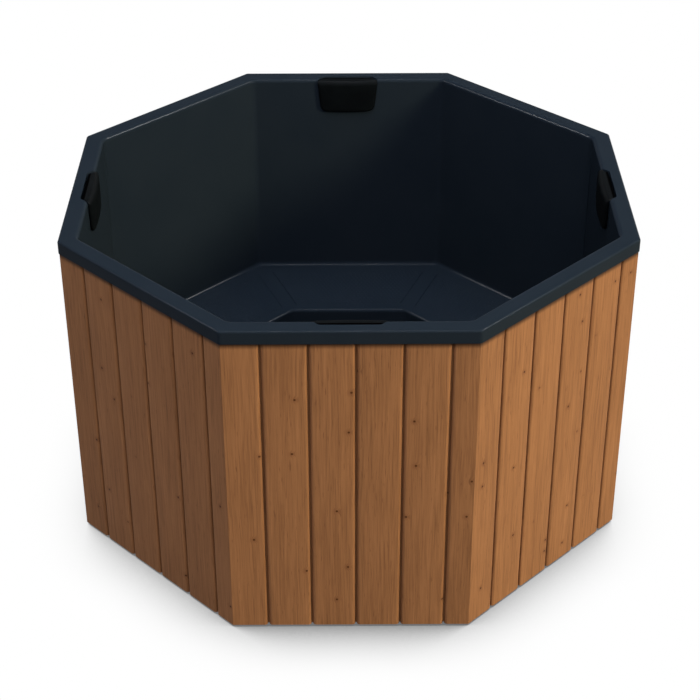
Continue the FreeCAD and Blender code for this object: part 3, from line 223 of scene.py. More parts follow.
sky = node(tree, "ShaderNodeBackground", {"Color": shade.outputs[2], "Strength": 1.0})
node(tree, "ShaderNodeOutputWorld", {"Surface": sky})
scene.world = world
scene.view_settings.view_transform = "Standard"
print("room level", AMBIENT)

# %% [markdown]
# ## Lamps
# The edge of the shadow that the rim throws across the back wall tells where the main lamp stood: 65
# degrees to the right, low and a little warm. A lamp above and one high in front lighten the rim, the
# bench and the front boards. Three more lamps show only in reflections. They stand where a rounded edge
# of the liner mirrors them to the camera, and draw the thin bright lines along the rim and the bench. A
# level of 1 means that a white sheet facing the lamp would look just white.

# %% Lamps
WHITE = (1.0, 1.0, 1.0)
WARM = (1.0, 0.963, 0.748)
BLUE = (0.60, 0.74, 1.0)
LAMPS = {
    # turn and rise in degrees, distance and diameter in metres, level, colour, whether it lights surfaces
    "key_lamp": (65, 23.5, 11.0, 2.4, 0.81, WARM, True),
    "high_lamp": (0, 60, 10.0, 4.8, 0.42, COOL, True),
    "top_lamp": (0, 90, 8.0, 5.6, 0.56, BLUE, True),
    "right_glint": (90, 40, 11.0, 1.2, 2.8, WHITE, False),
    "left_glint": (-90, 40, 11.0, 1.2, 2.1, WHITE, False),
    "top_glint": (0, 80, 11.0, 1.2, 0.6, WHITE, False),
}

for name, (turn, rise, distance, size, level, colour, lights) in LAMPS.items():
    light = bpy.data.lights.new(name, "AREA")
    light.shape = "DISK"
    light.size = size
    light.color = colour
    light.energy = level * math.pi ** 2 * distance ** 2
    lamp = bpy.data.objects.new(name, light)
    scene.collection.objects.link(lamp)
    lamp.matrix_world = looking_back(toward(turn, rise), distance)
    lamp.visible_diffuse = lights
    print(name, round(light.energy), "W")

# %% [markdown]
# ## Plan of one row of boards
# Each flat side carries six tongued and grooved boards. The joints stand open by 4 mm and the front edges
# are rounded, which is what draws the dark upright lines. The outer two boards are mitred into the
# corners. Boxes with a Bevel modifier would have no tongues. A board is the same from foot to skirt, so
# its shape is one outline seen from above, and six outlines, as six flat faces, are all that the node
# tree below needs.

# %% Board outlines
HALF_TURN = math.tan(math.pi / 8)
FACE = 0.797
BOARD_BACK = 0.777
PITCH = 0.1226
THIRD_JOINT = 0.0155
OPEN_JOINT = 0.004
ROUND = 0.009
ROUND_STEPS = 6
TONGUE = (0.7865, 0.7815)  # its front and its back
TONGUE_REACH = 0.008
TONGUE_PLAY = 0.00025
SHOULDER_GAP = 0.0005
MITRE_GAP = 0.0003


def rounded(x, side):
    """The front corner of a board at x, as points from the face to the edge. side is 1 at the right."""
    points = []
    for i in range(ROUND_STEPS + 1):
        a = math.radians(90 * i / ROUND_STEPS)
        points.append((x - side * ROUND * (1 - math.sin(a)), -FACE + ROUND * (1 - math.cos(a))))
    return points


def board_outline(i):
    """Board i of a side, counted from the left, as a loop of points seen from above."""
    loop = []
    if i == 0:
        loop.append((-(FACE * HALF_TURN - MITRE_GAP), -FACE))
    else:
        left = THIRD_JOINT + (i - 3) * PITCH + OPEN_JOINT / 2
        loop += rounded(left, -1)[::-1]
    if i == 5:
        loop += [(FACE * HALF_TURN - MITRE_GAP, -FACE), (BOARD_BACK * HALF_TURN - MITRE_GAP, -BOARD_BACK)]
    else:
        joint = THIRD_JOINT + (i - 2) * PITCH
        right = joint - OPEN_JOINT / 2
        tip = joint + OPEN_JOINT / 2 + TONGUE_REACH
        shoulder = joint + OPEN_JOINT / 2 - SHOULDER_GAP
        loop += rounded(right, 1)
        loop += [(right, -TONGUE[0]), (tip, -TONGUE[0]), (tip, -TONGUE[1]), (shoulder, -TONGUE[1]),
                 (shoulder, -BOARD_BACK)]
    if i == 0:
        loop.append((-(BOARD_BACK * HALF_TURN - MITRE_GAP), -BOARD_BACK))
    else:
        bed = left + TONGUE_REACH + SHOULDER_GAP
        loop += [(left, -BOARD_BACK), (left, -TONGUE[1] + TONGUE_PLAY), (bed, -TONGUE[1] + TONGUE_PLAY),
                 (bed, -TONGUE[0] - TONGUE_PLAY), (left, -TONGUE[0] - TONGUE_PLAY)]
    return loop


plan = bpy.data.meshes.new("board_plan")
points, loops = [], []
for i in range(6):
    outline = board_outline(i)
    loops.append(list(range(len(points), len(points) + len(outline))))
    points += [(x, y, 0.0) for x, y in outline]
plan.from_pydata(points, [], loops)
print("outlines", len(loops), "with", [len(loop) for loop in loops], "points")

# %% [markdown]
# ## Holes for the pipes
# Two heater pipes and the drain pass through the boards of the back. The holes are plain cylinders, 2 mm
# larger than the pipes all round, which the board tree cuts away with its other work. Collars hide their
# edges.

# %% Hole cutters
HOLES = [(-0.061, 0.175, 0.027), (0.061, 0.175, 0.027), (0.140, 0.070, 0.022)]  # x, z, radius
HOLE_MIDDLE = 0.787
HOLE_LENGTH = 0.06

cutter_mesh = bpy.data.meshes.new("pipe_holes")
work = bmesh.new()
for x, z, radius in HOLES:
    place = Matrix.Translation((x, HOLE_MIDDLE, z)) @ Matrix.Rotation(math.pi / 2, 4, "X")
    bmesh.ops.create_cone(work, cap_ends=True, segments=40, radius1=radius, radius2=radius,
                          depth=HOLE_LENGTH, matrix=place)
work.to_mesh(cutter_mesh)
work.free()
cutter = bpy.data.objects.new("pipe_holes", cutter_mesh)
scene.collection.objects.link(cutter)
print("holes cut through the back boards:", len(HOLES))

# %% [markdown]
# ## Board tree: from outlines to boards
# Boards round a tub are a rule that repeats, which is work for Geometry Nodes. The outlines are drawn up
# in three extrusions: one to the height of the skirt, one that steps the face back by 4 mm so that the
# board goes up behind the skirt, and one for the head.

# %% Board tree, one row
def new_tree(name, sizes):
    """A geometry tree with a geometry input, one float input for each size, and a material input."""
    made = bpy.data.node_groups.new(name, "GeometryNodeTree")
    made.interface.new_socket("Geometry", in_out="INPUT", socket_type="NodeSocketGeometry")
    for size, value in sizes.items():
        socket = made.interface.new_socket(size, in_out="INPUT", socket_type="NodeSocketFloat")
        socket.default_value = value
    made.interface.new_socket("Finish", in_out="INPUT", socket_type="NodeSocketMaterial")
    made.interface.new_socket("Geometry", in_out="OUTPUT", socket_type="NodeSocketGeometry")
    return made, node(made, "NodeGroupInput").outputs


BOARD_SIZES = {"Foot": 0.006, "Under Skirt": 0.940, "Head": 0.972, "Stepped Face": 0.793}
WELD = 0.00002
tree, given = new_tree("boards_round_a_tub", BOARD_SIZES)
tree.interface.new_socket("Holes", in_out="INPUT", socket_type="NodeSocketObject")
place = node(tree, "GeometryNodeInputPosition")
number = node(tree, "GeometryNodeInputIndex")
foot_up = node(tree, "ShaderNodeCombineXYZ", {"Z": given["Foot"]})
body_rise = node(tree, "ShaderNodeMath", {0: given["Under Skirt"], 1: given["Foot"]}, operation="SUBTRACT")
body_up = node(tree, "ShaderNodeCombineXYZ", {"Z": body_rise})
head_rise = node(tree, "ShaderNodeMath", {0: given["Head"], 1: given["Under Skirt"]}, operation="SUBTRACT")
head_up = node(tree, "ShaderNodeCombineXYZ", {"Z": head_rise})

named = node(tree, "GeometryNodeStoreNamedAttribute",
             {"Geometry": given["Geometry"], "Name": "board", "Value": number},
             data_type="INT", domain="FACE")
lifted = node(tree, "GeometryNodeSetPosition", {"Geometry": named, "Offset": foot_up})
foot_end = node(tree, "GeometryNodeFlipFaces", {"Mesh": lifted})
body = node(tree, "GeometryNodeExtrudeMesh", {"Mesh": lifted, "Offset": body_up, "Individual": False})
ledge = node(tree, "GeometryNodeExtrudeMesh",
             {"Mesh": body, "Selection": body.outputs["Top"], "Offset": (0, 0, 0), "Offset Scale": 0.0,
              "Individual": False})
axes = node(tree, "ShaderNodeSeparateXYZ", {0: place}).outputs
stepped = node(tree, "ShaderNodeMath", {0: given["Stepped Face"], 1: -1.0}, operation="MULTIPLY")
back_y = node(tree, "ShaderNodeMath", {0: axes["Y"], 1: stepped}, operation="MAXIMUM")
corner = node(tree, "ShaderNodeMath", {0: given["Stepped Face"], 1: HALF_TURN, 2: -MITRE_GAP},
              operation="MULTIPLY_ADD")
low_x = node(tree, "ShaderNodeMath", {0: corner, 1: -1.0}, operation="MULTIPLY")
back_x = node(tree, "ShaderNodeClamp", {"Value": axes["X"], "Min": low_x, "Max": corner})
back_place = node(tree, "ShaderNodeCombineXYZ", {"X": back_x, "Y": back_y, "Z": axes["Z"]})
set_back = node(tree, "GeometryNodeSetPosition", {"Geometry": ledge, "Selection": ledge.outputs["Top"],
                                                 "Position": back_place})
head = node(tree, "GeometryNodeExtrudeMesh", {"Mesh": set_back, "Selection": ledge.outputs["Top"],
                                             "Offset": head_up, "Individual": False})
row = node(tree, "GeometryNodeJoinGeometry", {"Geometry": [head, foot_end]})
row = node(tree, "GeometryNodeMergeByDistance", {"Geometry": row, "Distance": WELD})
print("one row:", len(tree.nodes), "nodes")

# %% [markdown]
# ## Board tree: eight sides
# The row is copied to the eight sides, each turned by an eighth. Every face keeps the serial number of
# its board, 0 to 47, because the numbers of points and faces change when the pipe holes are cut.

# %% Board tree, the ring
sides = node(tree, "GeometryNodePoints", {"Count": 8})
eighth = node(tree, "ShaderNodeMath", {0: number, 1: math.pi / 4}, operation="MULTIPLY")
turned = node(tree, "ShaderNodeCombineXYZ", {"Z": eighth})
ring = node(tree, "GeometryNodeInstanceOnPoints", {"Points": sides, "Instance": row, "Rotation": turned})
ring = node(tree, "GeometryNodeStoreNamedAttribute", {"Geometry": ring, "Name": "side", "Value": number},
            data_type="INT", domain="INSTANCE")
ring = node(tree, "GeometryNodeRealizeInstances", {"Geometry": ring})
side = node(tree, "GeometryNodeInputNamedAttribute", {"Name": "side"}, data_type="INT")
board = node(tree, "GeometryNodeInputNamedAttribute", {"Name": "board"}, data_type="INT")
serial = node(tree, "ShaderNodeMath", {0: side, 1: 6.0, 2: board}, operation="MULTIPLY_ADD")
ring = node(tree, "GeometryNodeStoreNamedAttribute", {"Geometry": ring, "Name": "serial", "Value": serial},
            data_type="INT", domain="FACE")
drill = node(tree, "GeometryNodeObjectInfo", {"Object": given["Holes"]})
drilled = node(tree, "GeometryNodeMeshBoolean", {0: ring, 1: drill.outputs["Geometry"]},
               operation="DIFFERENCE")
print("row and ring:", len(tree.nodes), "nodes")

# %% [markdown]
# ## Board tree: what the stain needs to know
# Three attributes go with every board. grain holds its own upright coordinates, moved by a random amount
# so that no two boards look the same. tone is a random number for its shade. into is the depth behind the
# face, so that the joints can be darkened, partly as stain gathered there and partly as painted shade.

# %% Board tree, attributes
GRAIN_SHIFT = 9
GRAIN_SEED = 11
TONE_SEED = 4

serial = node(tree, "GeometryNodeInputNamedAttribute", {"Name": "serial"}, data_type="INT")
side = node(tree, "ShaderNodeMath", {0: serial, 1: 6.0}, operation="DIVIDE")
side = node(tree, "ShaderNodeMath", {0: side}, operation="FLOOR")
unturn = node(tree, "ShaderNodeMath", {0: side, 1: -math.pi / 4}, operation="MULTIPLY")
upright = node(tree, "ShaderNodeVectorRotate", {"Vector": place, "Angle": unturn}, rotation_type="Z_AXIS")
shift = node(tree, "FunctionNodeRandomValue", {0: (-GRAIN_SHIFT,) * 3, 1: (GRAIN_SHIFT,) * 3, "ID": serial,
                                               "Seed": GRAIN_SEED}, data_type="FLOAT_VECTOR")
grain = node(tree, "ShaderNodeVectorMath", {0: upright, 1: shift}, operation="ADD")
tone = node(tree, "FunctionNodeRandomValue", {2: 0.0, 3: 1.0, "ID": serial, "Seed": TONE_SEED},
            data_type="FLOAT").outputs[1]
depth = node(tree, "ShaderNodeSeparateXYZ", {0: upright}).outputs["Y"]
depth = node(tree, "ShaderNodeMath", {0: depth, 1: FACE}, operation="ADD")
dressed = drilled
stored = (("grain", grain, "FLOAT_VECTOR"), ("tone", tone, "FLOAT"), ("into", depth, "FLOAT"))
for name, value, kind in stored:
    dressed = node(tree, "GeometryNodeStoreNamedAttribute",
                   {"Geometry": dressed, "Name": name, "Value": value}, data_type=kind, domain="CORNER")
dressed = node(tree, "GeometryNodeRealizeInstances", {"Geometry": dressed})
dressed = node(tree, "GeometryNodeSetMaterial", {"Geometry": dressed, "Material": given["Finish"]})
node(tree, "NodeGroupOutput", {"Geometry": dressed})
board_tree = tree
print("board tree:", len(board_tree.nodes), "nodes")

# %% [markdown]
# ## Stained pine: knots
# The boards are planed pine under a brown translucent stain. Small dark knots stand here and there, with
# the grain flowing round them. A Voronoi pattern on the flat of the board gives each cell one point for a
# knot, and the lot that the cell draws makes it dark, faint or missing.

# %% Knots
KNOT_CELL = 0.14
KNOT_RADIUS = 0.0034

stained_pine, tree = material("stained_pine")
grain = node(tree, "ShaderNodeAttribute", attribute_name="grain").outputs["Vector"]
flat = node(tree, "ShaderNodeSeparateXYZ", {0: grain}).outputs
flat = node(tree, "ShaderNodeCombineXYZ", {"X": flat["X"], "Y": flat["Z"]})
knots = node(tree, "ShaderNodeTexVoronoi", {"Vector": flat, "Scale": 1 / KNOT_CELL},
             voronoi_dimensions="2D")
lot = node(tree, "ShaderNodeSeparateColor", {0: knots.outputs["Color"]})
chosen = node(tree, "ShaderNodeMapRange", {"Value": lot, "From Min": 0.75, "From Max": 0.45})
knot = node(tree, "ShaderNodeMapRange",
            {"Value": knots, "From Min": 0.6 * KNOT_RADIUS / KNOT_CELL,
             "From Max": 1.3 * KNOT_RADIUS / KNOT_CELL, "To Min": 1.0, "To Max": 0.0},
            interpolation_type="SMOOTHSTEP")
knot = node(tree, "ShaderNodeMath", {0: knot, 1: chosen}, operation="MULTIPLY")
halo = node(tree, "ShaderNodeMapRange",
            {"Value": knots, "From Min": 0.0, "From Max": 5 * KNOT_RADIUS / KNOT_CELL, "To Min": 1.0,
             "To Max": 0.0}, interpolation_type="SMOOTHSTEP")
halo = node(tree, "ShaderNodeMath", {0: halo, 1: chosen}, operation="MULTIPLY")
print("knots", round(KNOT_RADIUS * 2000, 1), "mm across, one for each", KNOT_CELL * 1000, "mm cell at most")

# %% [markdown]
# ## Stained pine: grain
# The eye sees fine upright streaks of early and late wood that wander a little, and a slow change of
# shade. Noise gives all three. The last number of each stretch draws its pattern out along the board.
# Real streaks are 1 to 6 mm wide, and the fibre is drawn at 2 mm, coarser than it is, because a pixel of
# the picture is 2.5 mm.

# %% Grain
STREAK = 0.006
FIBRE = 0.0022
SHADE = 0.07
BENDS_PER_METRE = 14.0
BEND_WIDTH = 0.02

bend = node(tree, "ShaderNodeVectorMath", {0: grain, 1: (1.0, 1.0, 0.16)}, operation="MULTIPLY")
wander = node(tree, "ShaderNodeTexNoise", {"Vector": bend, "Scale": BENDS_PER_METRE, "Detail": 2.0})
wander = node(tree, "ShaderNodeMath", {0: halo, 1: 0.4, 2: wander}, operation="MULTIPLY_ADD")
bent = node(tree, "ShaderNodeCombineXYZ", {"X": wander})
bent = node(tree, "ShaderNodeVectorMath", {0: bent, 1: (BEND_WIDTH, 0.0, 0.0), 2: grain},
            operation="MULTIPLY_ADD")
along = node(tree, "ShaderNodeVectorMath", {0: bent, 1: (1.0, 1.0, 0.03)}, operation="MULTIPLY")
streak = node(tree, "ShaderNodeTexNoise",
              {"Vector": along, "Scale": 1 / STREAK, "Detail": 3.0, "Roughness": 0.6})
fine = node(tree, "ShaderNodeVectorMath", {0: bent, 1: (1.0, 1.0, 0.02)}, operation="MULTIPLY")
fibre = node(tree, "ShaderNodeTexNoise",
             {"Vector": fine, "Scale": 1 / FIBRE, "Detail": 2.0, "Roughness": 0.7})
slow = node(tree, "ShaderNodeTexNoise", {"Vector": bend, "Scale": 1 / SHADE, "Detail": 2.0})
print("streaks", STREAK * 1000, "mm, fibre", FIBRE * 1000, "mm")

# %% [markdown]
# ## Stained pine: colour
# The grain patterns are added up, with a little of the board's own tone, and a ramp turns the sum into
# browns. Short dark pores, a ring round each knot and the knot itself are mixed over it.

# %% Colour of the wood
PORE = 0.0035

tone = node(tree, "ShaderNodeAttribute", attribute_name="tone").outputs["Fac"]
mix = node(tree, "ShaderNodeMath", {0: streak, 1: 0.55, 2: -0.07}, operation="MULTIPLY_ADD")
mix = node(tree, "ShaderNodeMath", {0: fibre, 1: 0.45, 2: mix}, operation="MULTIPLY_ADD")
mix = node(tree, "ShaderNodeMath", {0: slow, 1: 0.22, 2: mix}, operation="MULTIPLY_ADD")
mix = node(tree, "ShaderNodeMath", {0: tone, 1: 0.03, 2: mix}, operation="MULTIPLY_ADD")
wood = node(tree, "ShaderNodeValToRGB", {0: mix})
ramp = wood.color_ramp
ramp.elements[0].position = 0.2
ramp.elements[0].color = linear("654025")
ramp.elements[1].position = 0.95
ramp.elements[1].color = linear("BA7F4F")
ramp.elements.new(0.52).color = linear("94633C")
pores = node(tree, "ShaderNodeVectorMath", {0: bent, 1: (1.0, 1.0, 0.09)}, operation="MULTIPLY")
pores = node(tree, "ShaderNodeTexNoise", {"Vector": pores, "Scale": 1 / PORE, "Detail": 1.0})
pores = node(tree, "ShaderNodeMapRange",
             {"Value": pores, "From Min": 0.66, "From Max": 0.78, "To Max": 0.4})
ringed = node(tree, "ShaderNodeMath", {0: halo, 1: 0.35}, operation="MULTIPLY")
wood = wood.outputs[0]
for amount, brown in ((pores, "58331A"), (ringed, "673C1D"), (knot, "532D14")):
    wood = node(tree, "ShaderNodeMix", {0: amount, 6: wood, 7: linear(brown)}, data_type="RGBA").outputs[2]
print("browns of the ramp:", len(ramp.elements))

# %% [markdown]
# ## Stained pine: stain and surface
# The joints are darker, partly from stain gathered there and partly as painted shade, and a narrow band
# just under the skirt is darkened as a painted shadow of the skirt. The surface is a thin worn film: it is
# matt, the raised fibre is rougher than the rest, and its IOR is below that of a closed varnish, so the
# white floor puts no veil on it.

# %% Stain and surface
# The first number is how far under the skirt the painted shadow of the skirt reaches.
SKIRT_SHADOW_HEIGHT = 0.018
JOINT_DARK_FROM = 0.0015
JOINT_DARK_TO = 0.006

into = node(tree, "ShaderNodeAttribute", attribute_name="into").outputs["Fac"]
# Joints darken with depth behind the face: partly stain gathered there, partly painted shade.
joint_stain_and_shade = node(tree, "ShaderNodeMapRange",
                {"Value": into, "From Min": JOINT_DARK_FROM, "From Max": JOINT_DARK_TO, "To Max": 0.40},
                interpolation_type="SMOOTHSTEP")
here = node(tree, "ShaderNodeTexCoord").outputs["Object"]
height = node(tree, "ShaderNodeSeparateXYZ", {0: here}).outputs["Z"]
skirt = BOARD_SIZES["Under Skirt"]
# A band just under the skirt is painted dark as the skirt's shadow.
painted_skirt_shadow = node(tree, "ShaderNodeMapRange",
            {"Value": height, "From Min": skirt - SKIRT_SHADOW_HEIGHT, "From Max": skirt, "To Max": 0.85},
            interpolation_type="SMOOTHSTEP")
# The first brown paints the joints darker, partly stain and partly painted shade. The second paints the
# shadow under the skirt.
for amount, brown in ((joint_stain_and_shade, "583419"), (painted_skirt_shadow, "24150C")):
    wood = node(tree, "ShaderNodeMix", {0: amount, 6: wood, 7: linear(brown)}, data_type="RGBA").outputs[2]
relief = node(tree, "ShaderNodeMath", {0: streak, 1: fibre}, operation="ADD")
relief = node(tree, "ShaderNodeBump", {"Height": relief, "Strength": 0.25, "Distance": 0.0006})
worn = node(tree, "ShaderNodeMapRange", {"Value": fibre, "To Min": 0.5, "To Max": 0.68})
surface = node(tree, "ShaderNodeBsdfPrincipled", {"Base Color": wood, "Roughness": worn, "Normal": relief,
                                                 "IOR": 1.15})
node(tree, "ShaderNodeOutputMaterial", {"Surface": surface})
print("stained pine:", len(tree.nodes), "nodes, damp for", SKIRT_SHADOW_HEIGHT * 1000, "mm under the skirt")

# %% [markdown]
# ## The boards
# The tree is run once on the six outlines and its result is kept as a plain mesh. Smooth shading with a
# sharp edge wherever two faces meet at more than 30 degrees keeps the rounded edges soft and the ends
# crisp.

# %% Boards on the eight sides
SIDES = ["front", "front_right", "right", "back_right", "back", "back_left", "left", "front_left"]


def grown(name, mesh, group, finish, objects=None):
    """Runs a geometry tree on a mesh and returns a new object that holds the result as a plain mesh."""
    source = bpy.data.objects.new(name + "_source", mesh)
    scene.collection.objects.link(source)
    modifier = source.modifiers.new("grow", "NODES")
    modifier.node_group = group
    values = {"Finish": finish, **(objects or {})}
    for item in group.interface.items_tree:
        if item.in_out == "INPUT" and item.name in values:
            modifier[item.identifier] = values[item.name]
    bpy.context.view_layer.update()
    evaluated = source.evaluated_get(bpy.context.evaluated_depsgraph_get())
    result = bpy.data.meshes.new_from_object(evaluated)
    bpy.data.objects.remove(source)
    result.name = name
    made = bpy.data.objects.new(name, result)
    scene.collection.objects.link(made)
    return made


def soften(piece, degrees):
    """Smooth shading, with sharp edges where faces meet at more than this angle."""
    piece.data.shade_smooth()
    piece.data.set_sharp_from_angle(angle=math.radians(degrees))


boards = grown("cladding_boards", plan, board_tree, stained_pine, {"Holes": cutter})
bpy.data.objects.remove(cutter)
soften(boards, 30)
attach(boards, "tub")
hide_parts(*["cladding_" + name for name in SIDES])
print("boards:", len(boards.data.polygons), "faces")

# %% [markdown]
# ## Moulded liner
# The liner is rotationally moulded polyethylene, coloured through in a dark blue grey. Its solid in the
# model already has the coves, the bench and the notches, so it is kept and only the finish is new. The
# eye sees a satin skin with a slight orange peel. The IOR is far below that of the bare plastic, because
# the skin shows no white veil in the picture. Only the small bright lamps draw lines along its edges.

# %% Moulded polyethylene
PEEL = 0.0035
CLOUD = 0.16

moulded_pe, tree = material("moulded_polyethylene")
here = node(tree, "ShaderNodeTexCoord").outputs["Object"]
cloud = node(tree, "ShaderNodeTexNoise", {"Vector": here, "Scale": 1 / CLOUD, "Detail": 3.0})
colour = node(tree, "ShaderNodeMix", {0: cloud, 6: linear("1D2429"), 7: linear("23292D")}, data_type="RGBA")
peel = node(tree, "ShaderNodeTexNoise", {"Vector": here, "Scale": 1 / PEEL, "Detail": 2.0})
skin = node(tree, "ShaderNodeBump", {"Height": peel, "Strength": 0.06, "Distance": 0.0004})
satin = node(tree, "ShaderNodeMapRange", {"Value": cloud, "To Min": 0.17, "To Max": 0.22})
surface = node(tree, "ShaderNodeBsdfPrincipled", {"Base Color": colour.outputs[2], "Roughness": satin,
                                                 "Normal": skin, "IOR": 1.06})
node(tree, "ShaderNodeOutputMaterial", {"Surface": surface})
put_on("tub_liner", moulded_pe)
print("liner: orange peel", PEEL * 1000, "mm")

# %% [markdown]
# ## Anti-slip pips: where they stand
# Each of the eight bench segments has a panel of low pips between two creases of the moulding. Thousands
# of the same small bump on a grid are work for Geometry Nodes: a grid of points, with every second row
# moved by half a step, laid on the slope of the bench and cut to the shape of the segment.

# %% Pip tree, the points
PIP_SIZES = {"Step": 0.013, "Radius": 0.0030, "Rise": 0.0015, "Near": 0.492, "Far": 0.691, "Inset": 0.040}
ROW_SHARE = 0.866
# distance from the middle of the tub, then height, at the nose and at the wall
BENCH_SLOPE = {"From Min": 0.478, "From Max": 0.723, "To Min": 0.278, "To Max": 0.284}

tree, given = new_tree("pips_on_a_bench", PIP_SIZES)
place = node(tree, "GeometryNodeInputPosition")
number = node(tree, "GeometryNodeInputIndex")
long = node(tree, "ShaderNodeMath", {0: given["Far"], 1: 2 * HALF_TURN}, operation="MULTIPLY")
deep = node(tree, "ShaderNodeMath", {0: given["Far"], 1: given["Near"]}, operation="SUBTRACT")
across = node(tree, "ShaderNodeMath", {0: long, 1: given["Step"]}, operation="DIVIDE")
row_step = node(tree, "ShaderNodeMath", {0: given["Step"], 1: ROW_SHARE}, operation="MULTIPLY")
down = node(tree, "ShaderNodeMath", {0: deep, 1: row_step}, operation="DIVIDE")
grid = node(tree, "GeometryNodeMeshGrid",
            {"Size X": long, "Size Y": deep, "Vertices X": across, "Vertices Y": down})
axes = node(tree, "ShaderNodeSeparateXYZ", {0: place}).outputs
middle = node(tree, "ShaderNodeMath", {0: given["Near"], 1: given["Far"]}, operation="ADD")
out = node(tree, "ShaderNodeMath", {0: middle, 1: 0.5, 2: axes["Y"]}, operation="MULTIPLY_ADD")
row = node(tree, "ShaderNodeMath", {0: out, 1: given["Near"]}, operation="SUBTRACT")
row = node(tree, "ShaderNodeMath", {0: row, 1: row_step}, operation="DIVIDE")
row = node(tree, "ShaderNodeMath", {0: row}, operation="ROUND")
odd = node(tree, "ShaderNodeMath", {0: row, 1: 2.0}, operation="MODULO")
half = node(tree, "ShaderNodeMath", {0: given["Step"], 1: 0.5}, operation="MULTIPLY")
side_x = node(tree, "ShaderNodeMath", {0: odd, 1: half, 2: axes["X"]}, operation="MULTIPLY_ADD")
level = node(tree, "ShaderNodeMapRange", {"Value": out, **BENCH_SLOPE})
minus = node(tree, "ShaderNodeMath", {0: out, 1: -1.0}, operation="MULTIPLY")
on_bench = node(tree, "ShaderNodeCombineXYZ", {"X": side_x, "Y": minus, "Z": level})
seated = node(tree, "GeometryNodeSetPosition", {"Geometry": grid, "Position": on_bench})
width = node(tree, "ShaderNodeMath", {0: axes["X"]}, operation="ABSOLUTE")
limit = node(tree, "ShaderNodeMath", {0: axes["Y"], 1: -HALF_TURN}, operation="MULTIPLY")
limit = node(tree, "ShaderNodeMath", {0: limit, 1: given["Inset"]}, operation="SUBTRACT")
beyond = node(tree, "ShaderNodeMath", {0: width, 1: limit}, operation="GREATER_THAN")
kept = node(tree, "GeometryNodeDeleteGeometry", {"Geometry": seated, "Selection": beyond}, domain="POINT")
print("points of a panel:", len(tree.nodes), "nodes")

# %% [markdown]
# ## Anti-slip pips: the bumps
# One low six-sided pip stands on each point, and the panel is copied to the eight sides. Six sides are
# enough for a bump of a pixel or two, and keep thousands of them light.

# %% Pips on the bench
crest = node(tree, "ShaderNodeMath", {0: given["Radius"], 1: 0.5}, operation="MULTIPLY")
pip = node(tree, "GeometryNodeMeshCone",
           {"Vertices": 6, "Radius Top": crest, "Radius Bottom": given["Radius"], "Depth": given["Rise"]})
panel = node(tree, "GeometryNodeInstanceOnPoints", {"Points": kept, "Instance": pip})
panel = node(tree, "GeometryNodeRealizeInstances", {"Geometry": panel})
sides = node(tree, "GeometryNodePoints", {"Count": 8})
eighth = node(tree, "ShaderNodeMath", {0: number, 1: math.pi / 4}, operation="MULTIPLY")
turned = node(tree, "ShaderNodeCombineXYZ", {"Z": eighth})
ring = node(tree, "GeometryNodeInstanceOnPoints", {"Points": sides, "Instance": panel, "Rotation": turned})
ring = node(tree, "GeometryNodeRealizeInstances", {"Geometry": ring})
ring = node(tree, "GeometryNodeSetMaterial", {"Geometry": ring, "Material": given["Finish"]})
node(tree, "NodeGroupOutput", {"Geometry": ring})
pips = grown("anti_slip_pips", bpy.data.meshes.new("bench"), tree, moulded_pe)
soften(pips, 50)
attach(pips, "tub")
print("pips:", len(pips.data.vertices) // 12, "with", len(pips.data.polygons), "faces")

# %% [markdown]
# ## Headrests: the outline
# A headrest is a block of moulded foam with a black skin, pushed into a notch of the rim on two pegs. It
# is widest at its front and draws in towards the notch, its front is bowed from side to side, and no edge
# is sharp. A box with subdivision would lose these sizes. Instead one loop, the outline of the pad, is
# repeated at a row of depths.

# %% Outline of a pad
PAD_TOP = 0.978
PAD_LOW = 0.860
PAD_HALF = 0.107
PAD_SIDE_DRAW = 13 / 114
PAD_LEAN = 0.78
PAD_LOW_CORNER = 0.031
PAD_TOP_CORNER = 0.006
CORNER_STEPS = 8
CORNER_LEAST = 0.001


def pad_loop(inset, back):
    """The outline of the pad at a distance behind its front, moved inwards, as points round its face."""
    lean = PAD_LEAN * back
    low = PAD_LOW + lean + inset
    top = PAD_TOP - inset
    slope = math.atan(PAD_SIDE_DRAW)
    half_top = PAD_HALF - lean - inset / math.cos(slope)
    half_low = half_top - PAD_SIDE_DRAW * (top - low)
    corners = [(half_low, low, PAD_LOW_CORNER), (half_top, top, PAD_TOP_CORNER)]
    corners += [(-x, z, radius) for x, z, radius in corners[::-1]]
    run = []
    for i, (x, z, radius) in enumerate(corners):
        before = Vector(corners[i - 1][:2])
        after = Vector(corners[(i + 1) % 4][:2])
        here = Vector((x, z))
        size = max(radius - inset, CORNER_LEAST)
        a = (before - here).normalized()
        b = (after - here).normalized()
        half = a.angle(b) / 2
        middle = here + (a + b).normalized() * (size / math.sin(half))
        first = here + a * (size / math.tan(half)) - middle
        last = here + b * (size / math.tan(half)) - middle
        sweep = first.angle(last)
        for k in range(CORNER_STEPS + 1):
            t = k / CORNER_STEPS
            arm = (first * math.sin((1 - t) * sweep) + last * math.sin(t * sweep)) / math.sin(sweep)
            run.append(middle + arm)
    return run


def even(run, count):
    """The same closed line with its points spread evenly."""
    lengths = [0.0]
    for i, point in enumerate(run):
        lengths.append(lengths[-1] + (run[(i + 1) % len(run)] - point).length)
    spread = []
    k = 0
    for n in range(count):
        want = lengths[-1] * n / count
        while lengths[k + 1] < want:
            k += 1
        share = (want - lengths[k]) / (lengths[k + 1] - lengths[k])
        spread.append(run[k].lerp(run[(k + 1) % len(run)], share))
    return spread


print("pad outline:", len(pad_loop(0.0, 0.0)), "points before they are spread")

# %% [markdown]
# ## Headrests: from front to back
# Each step along the row of loops says how far the loop lies inside the outline and how far back it is,
# and the roundings at front and back are arcs between those two numbers. Two extra loops keep the edge of
# the dark back band crisp, where the gap to the notch is painted as shade. A Bevel modifier would round
# both edges too, but not hold the band at its depth.

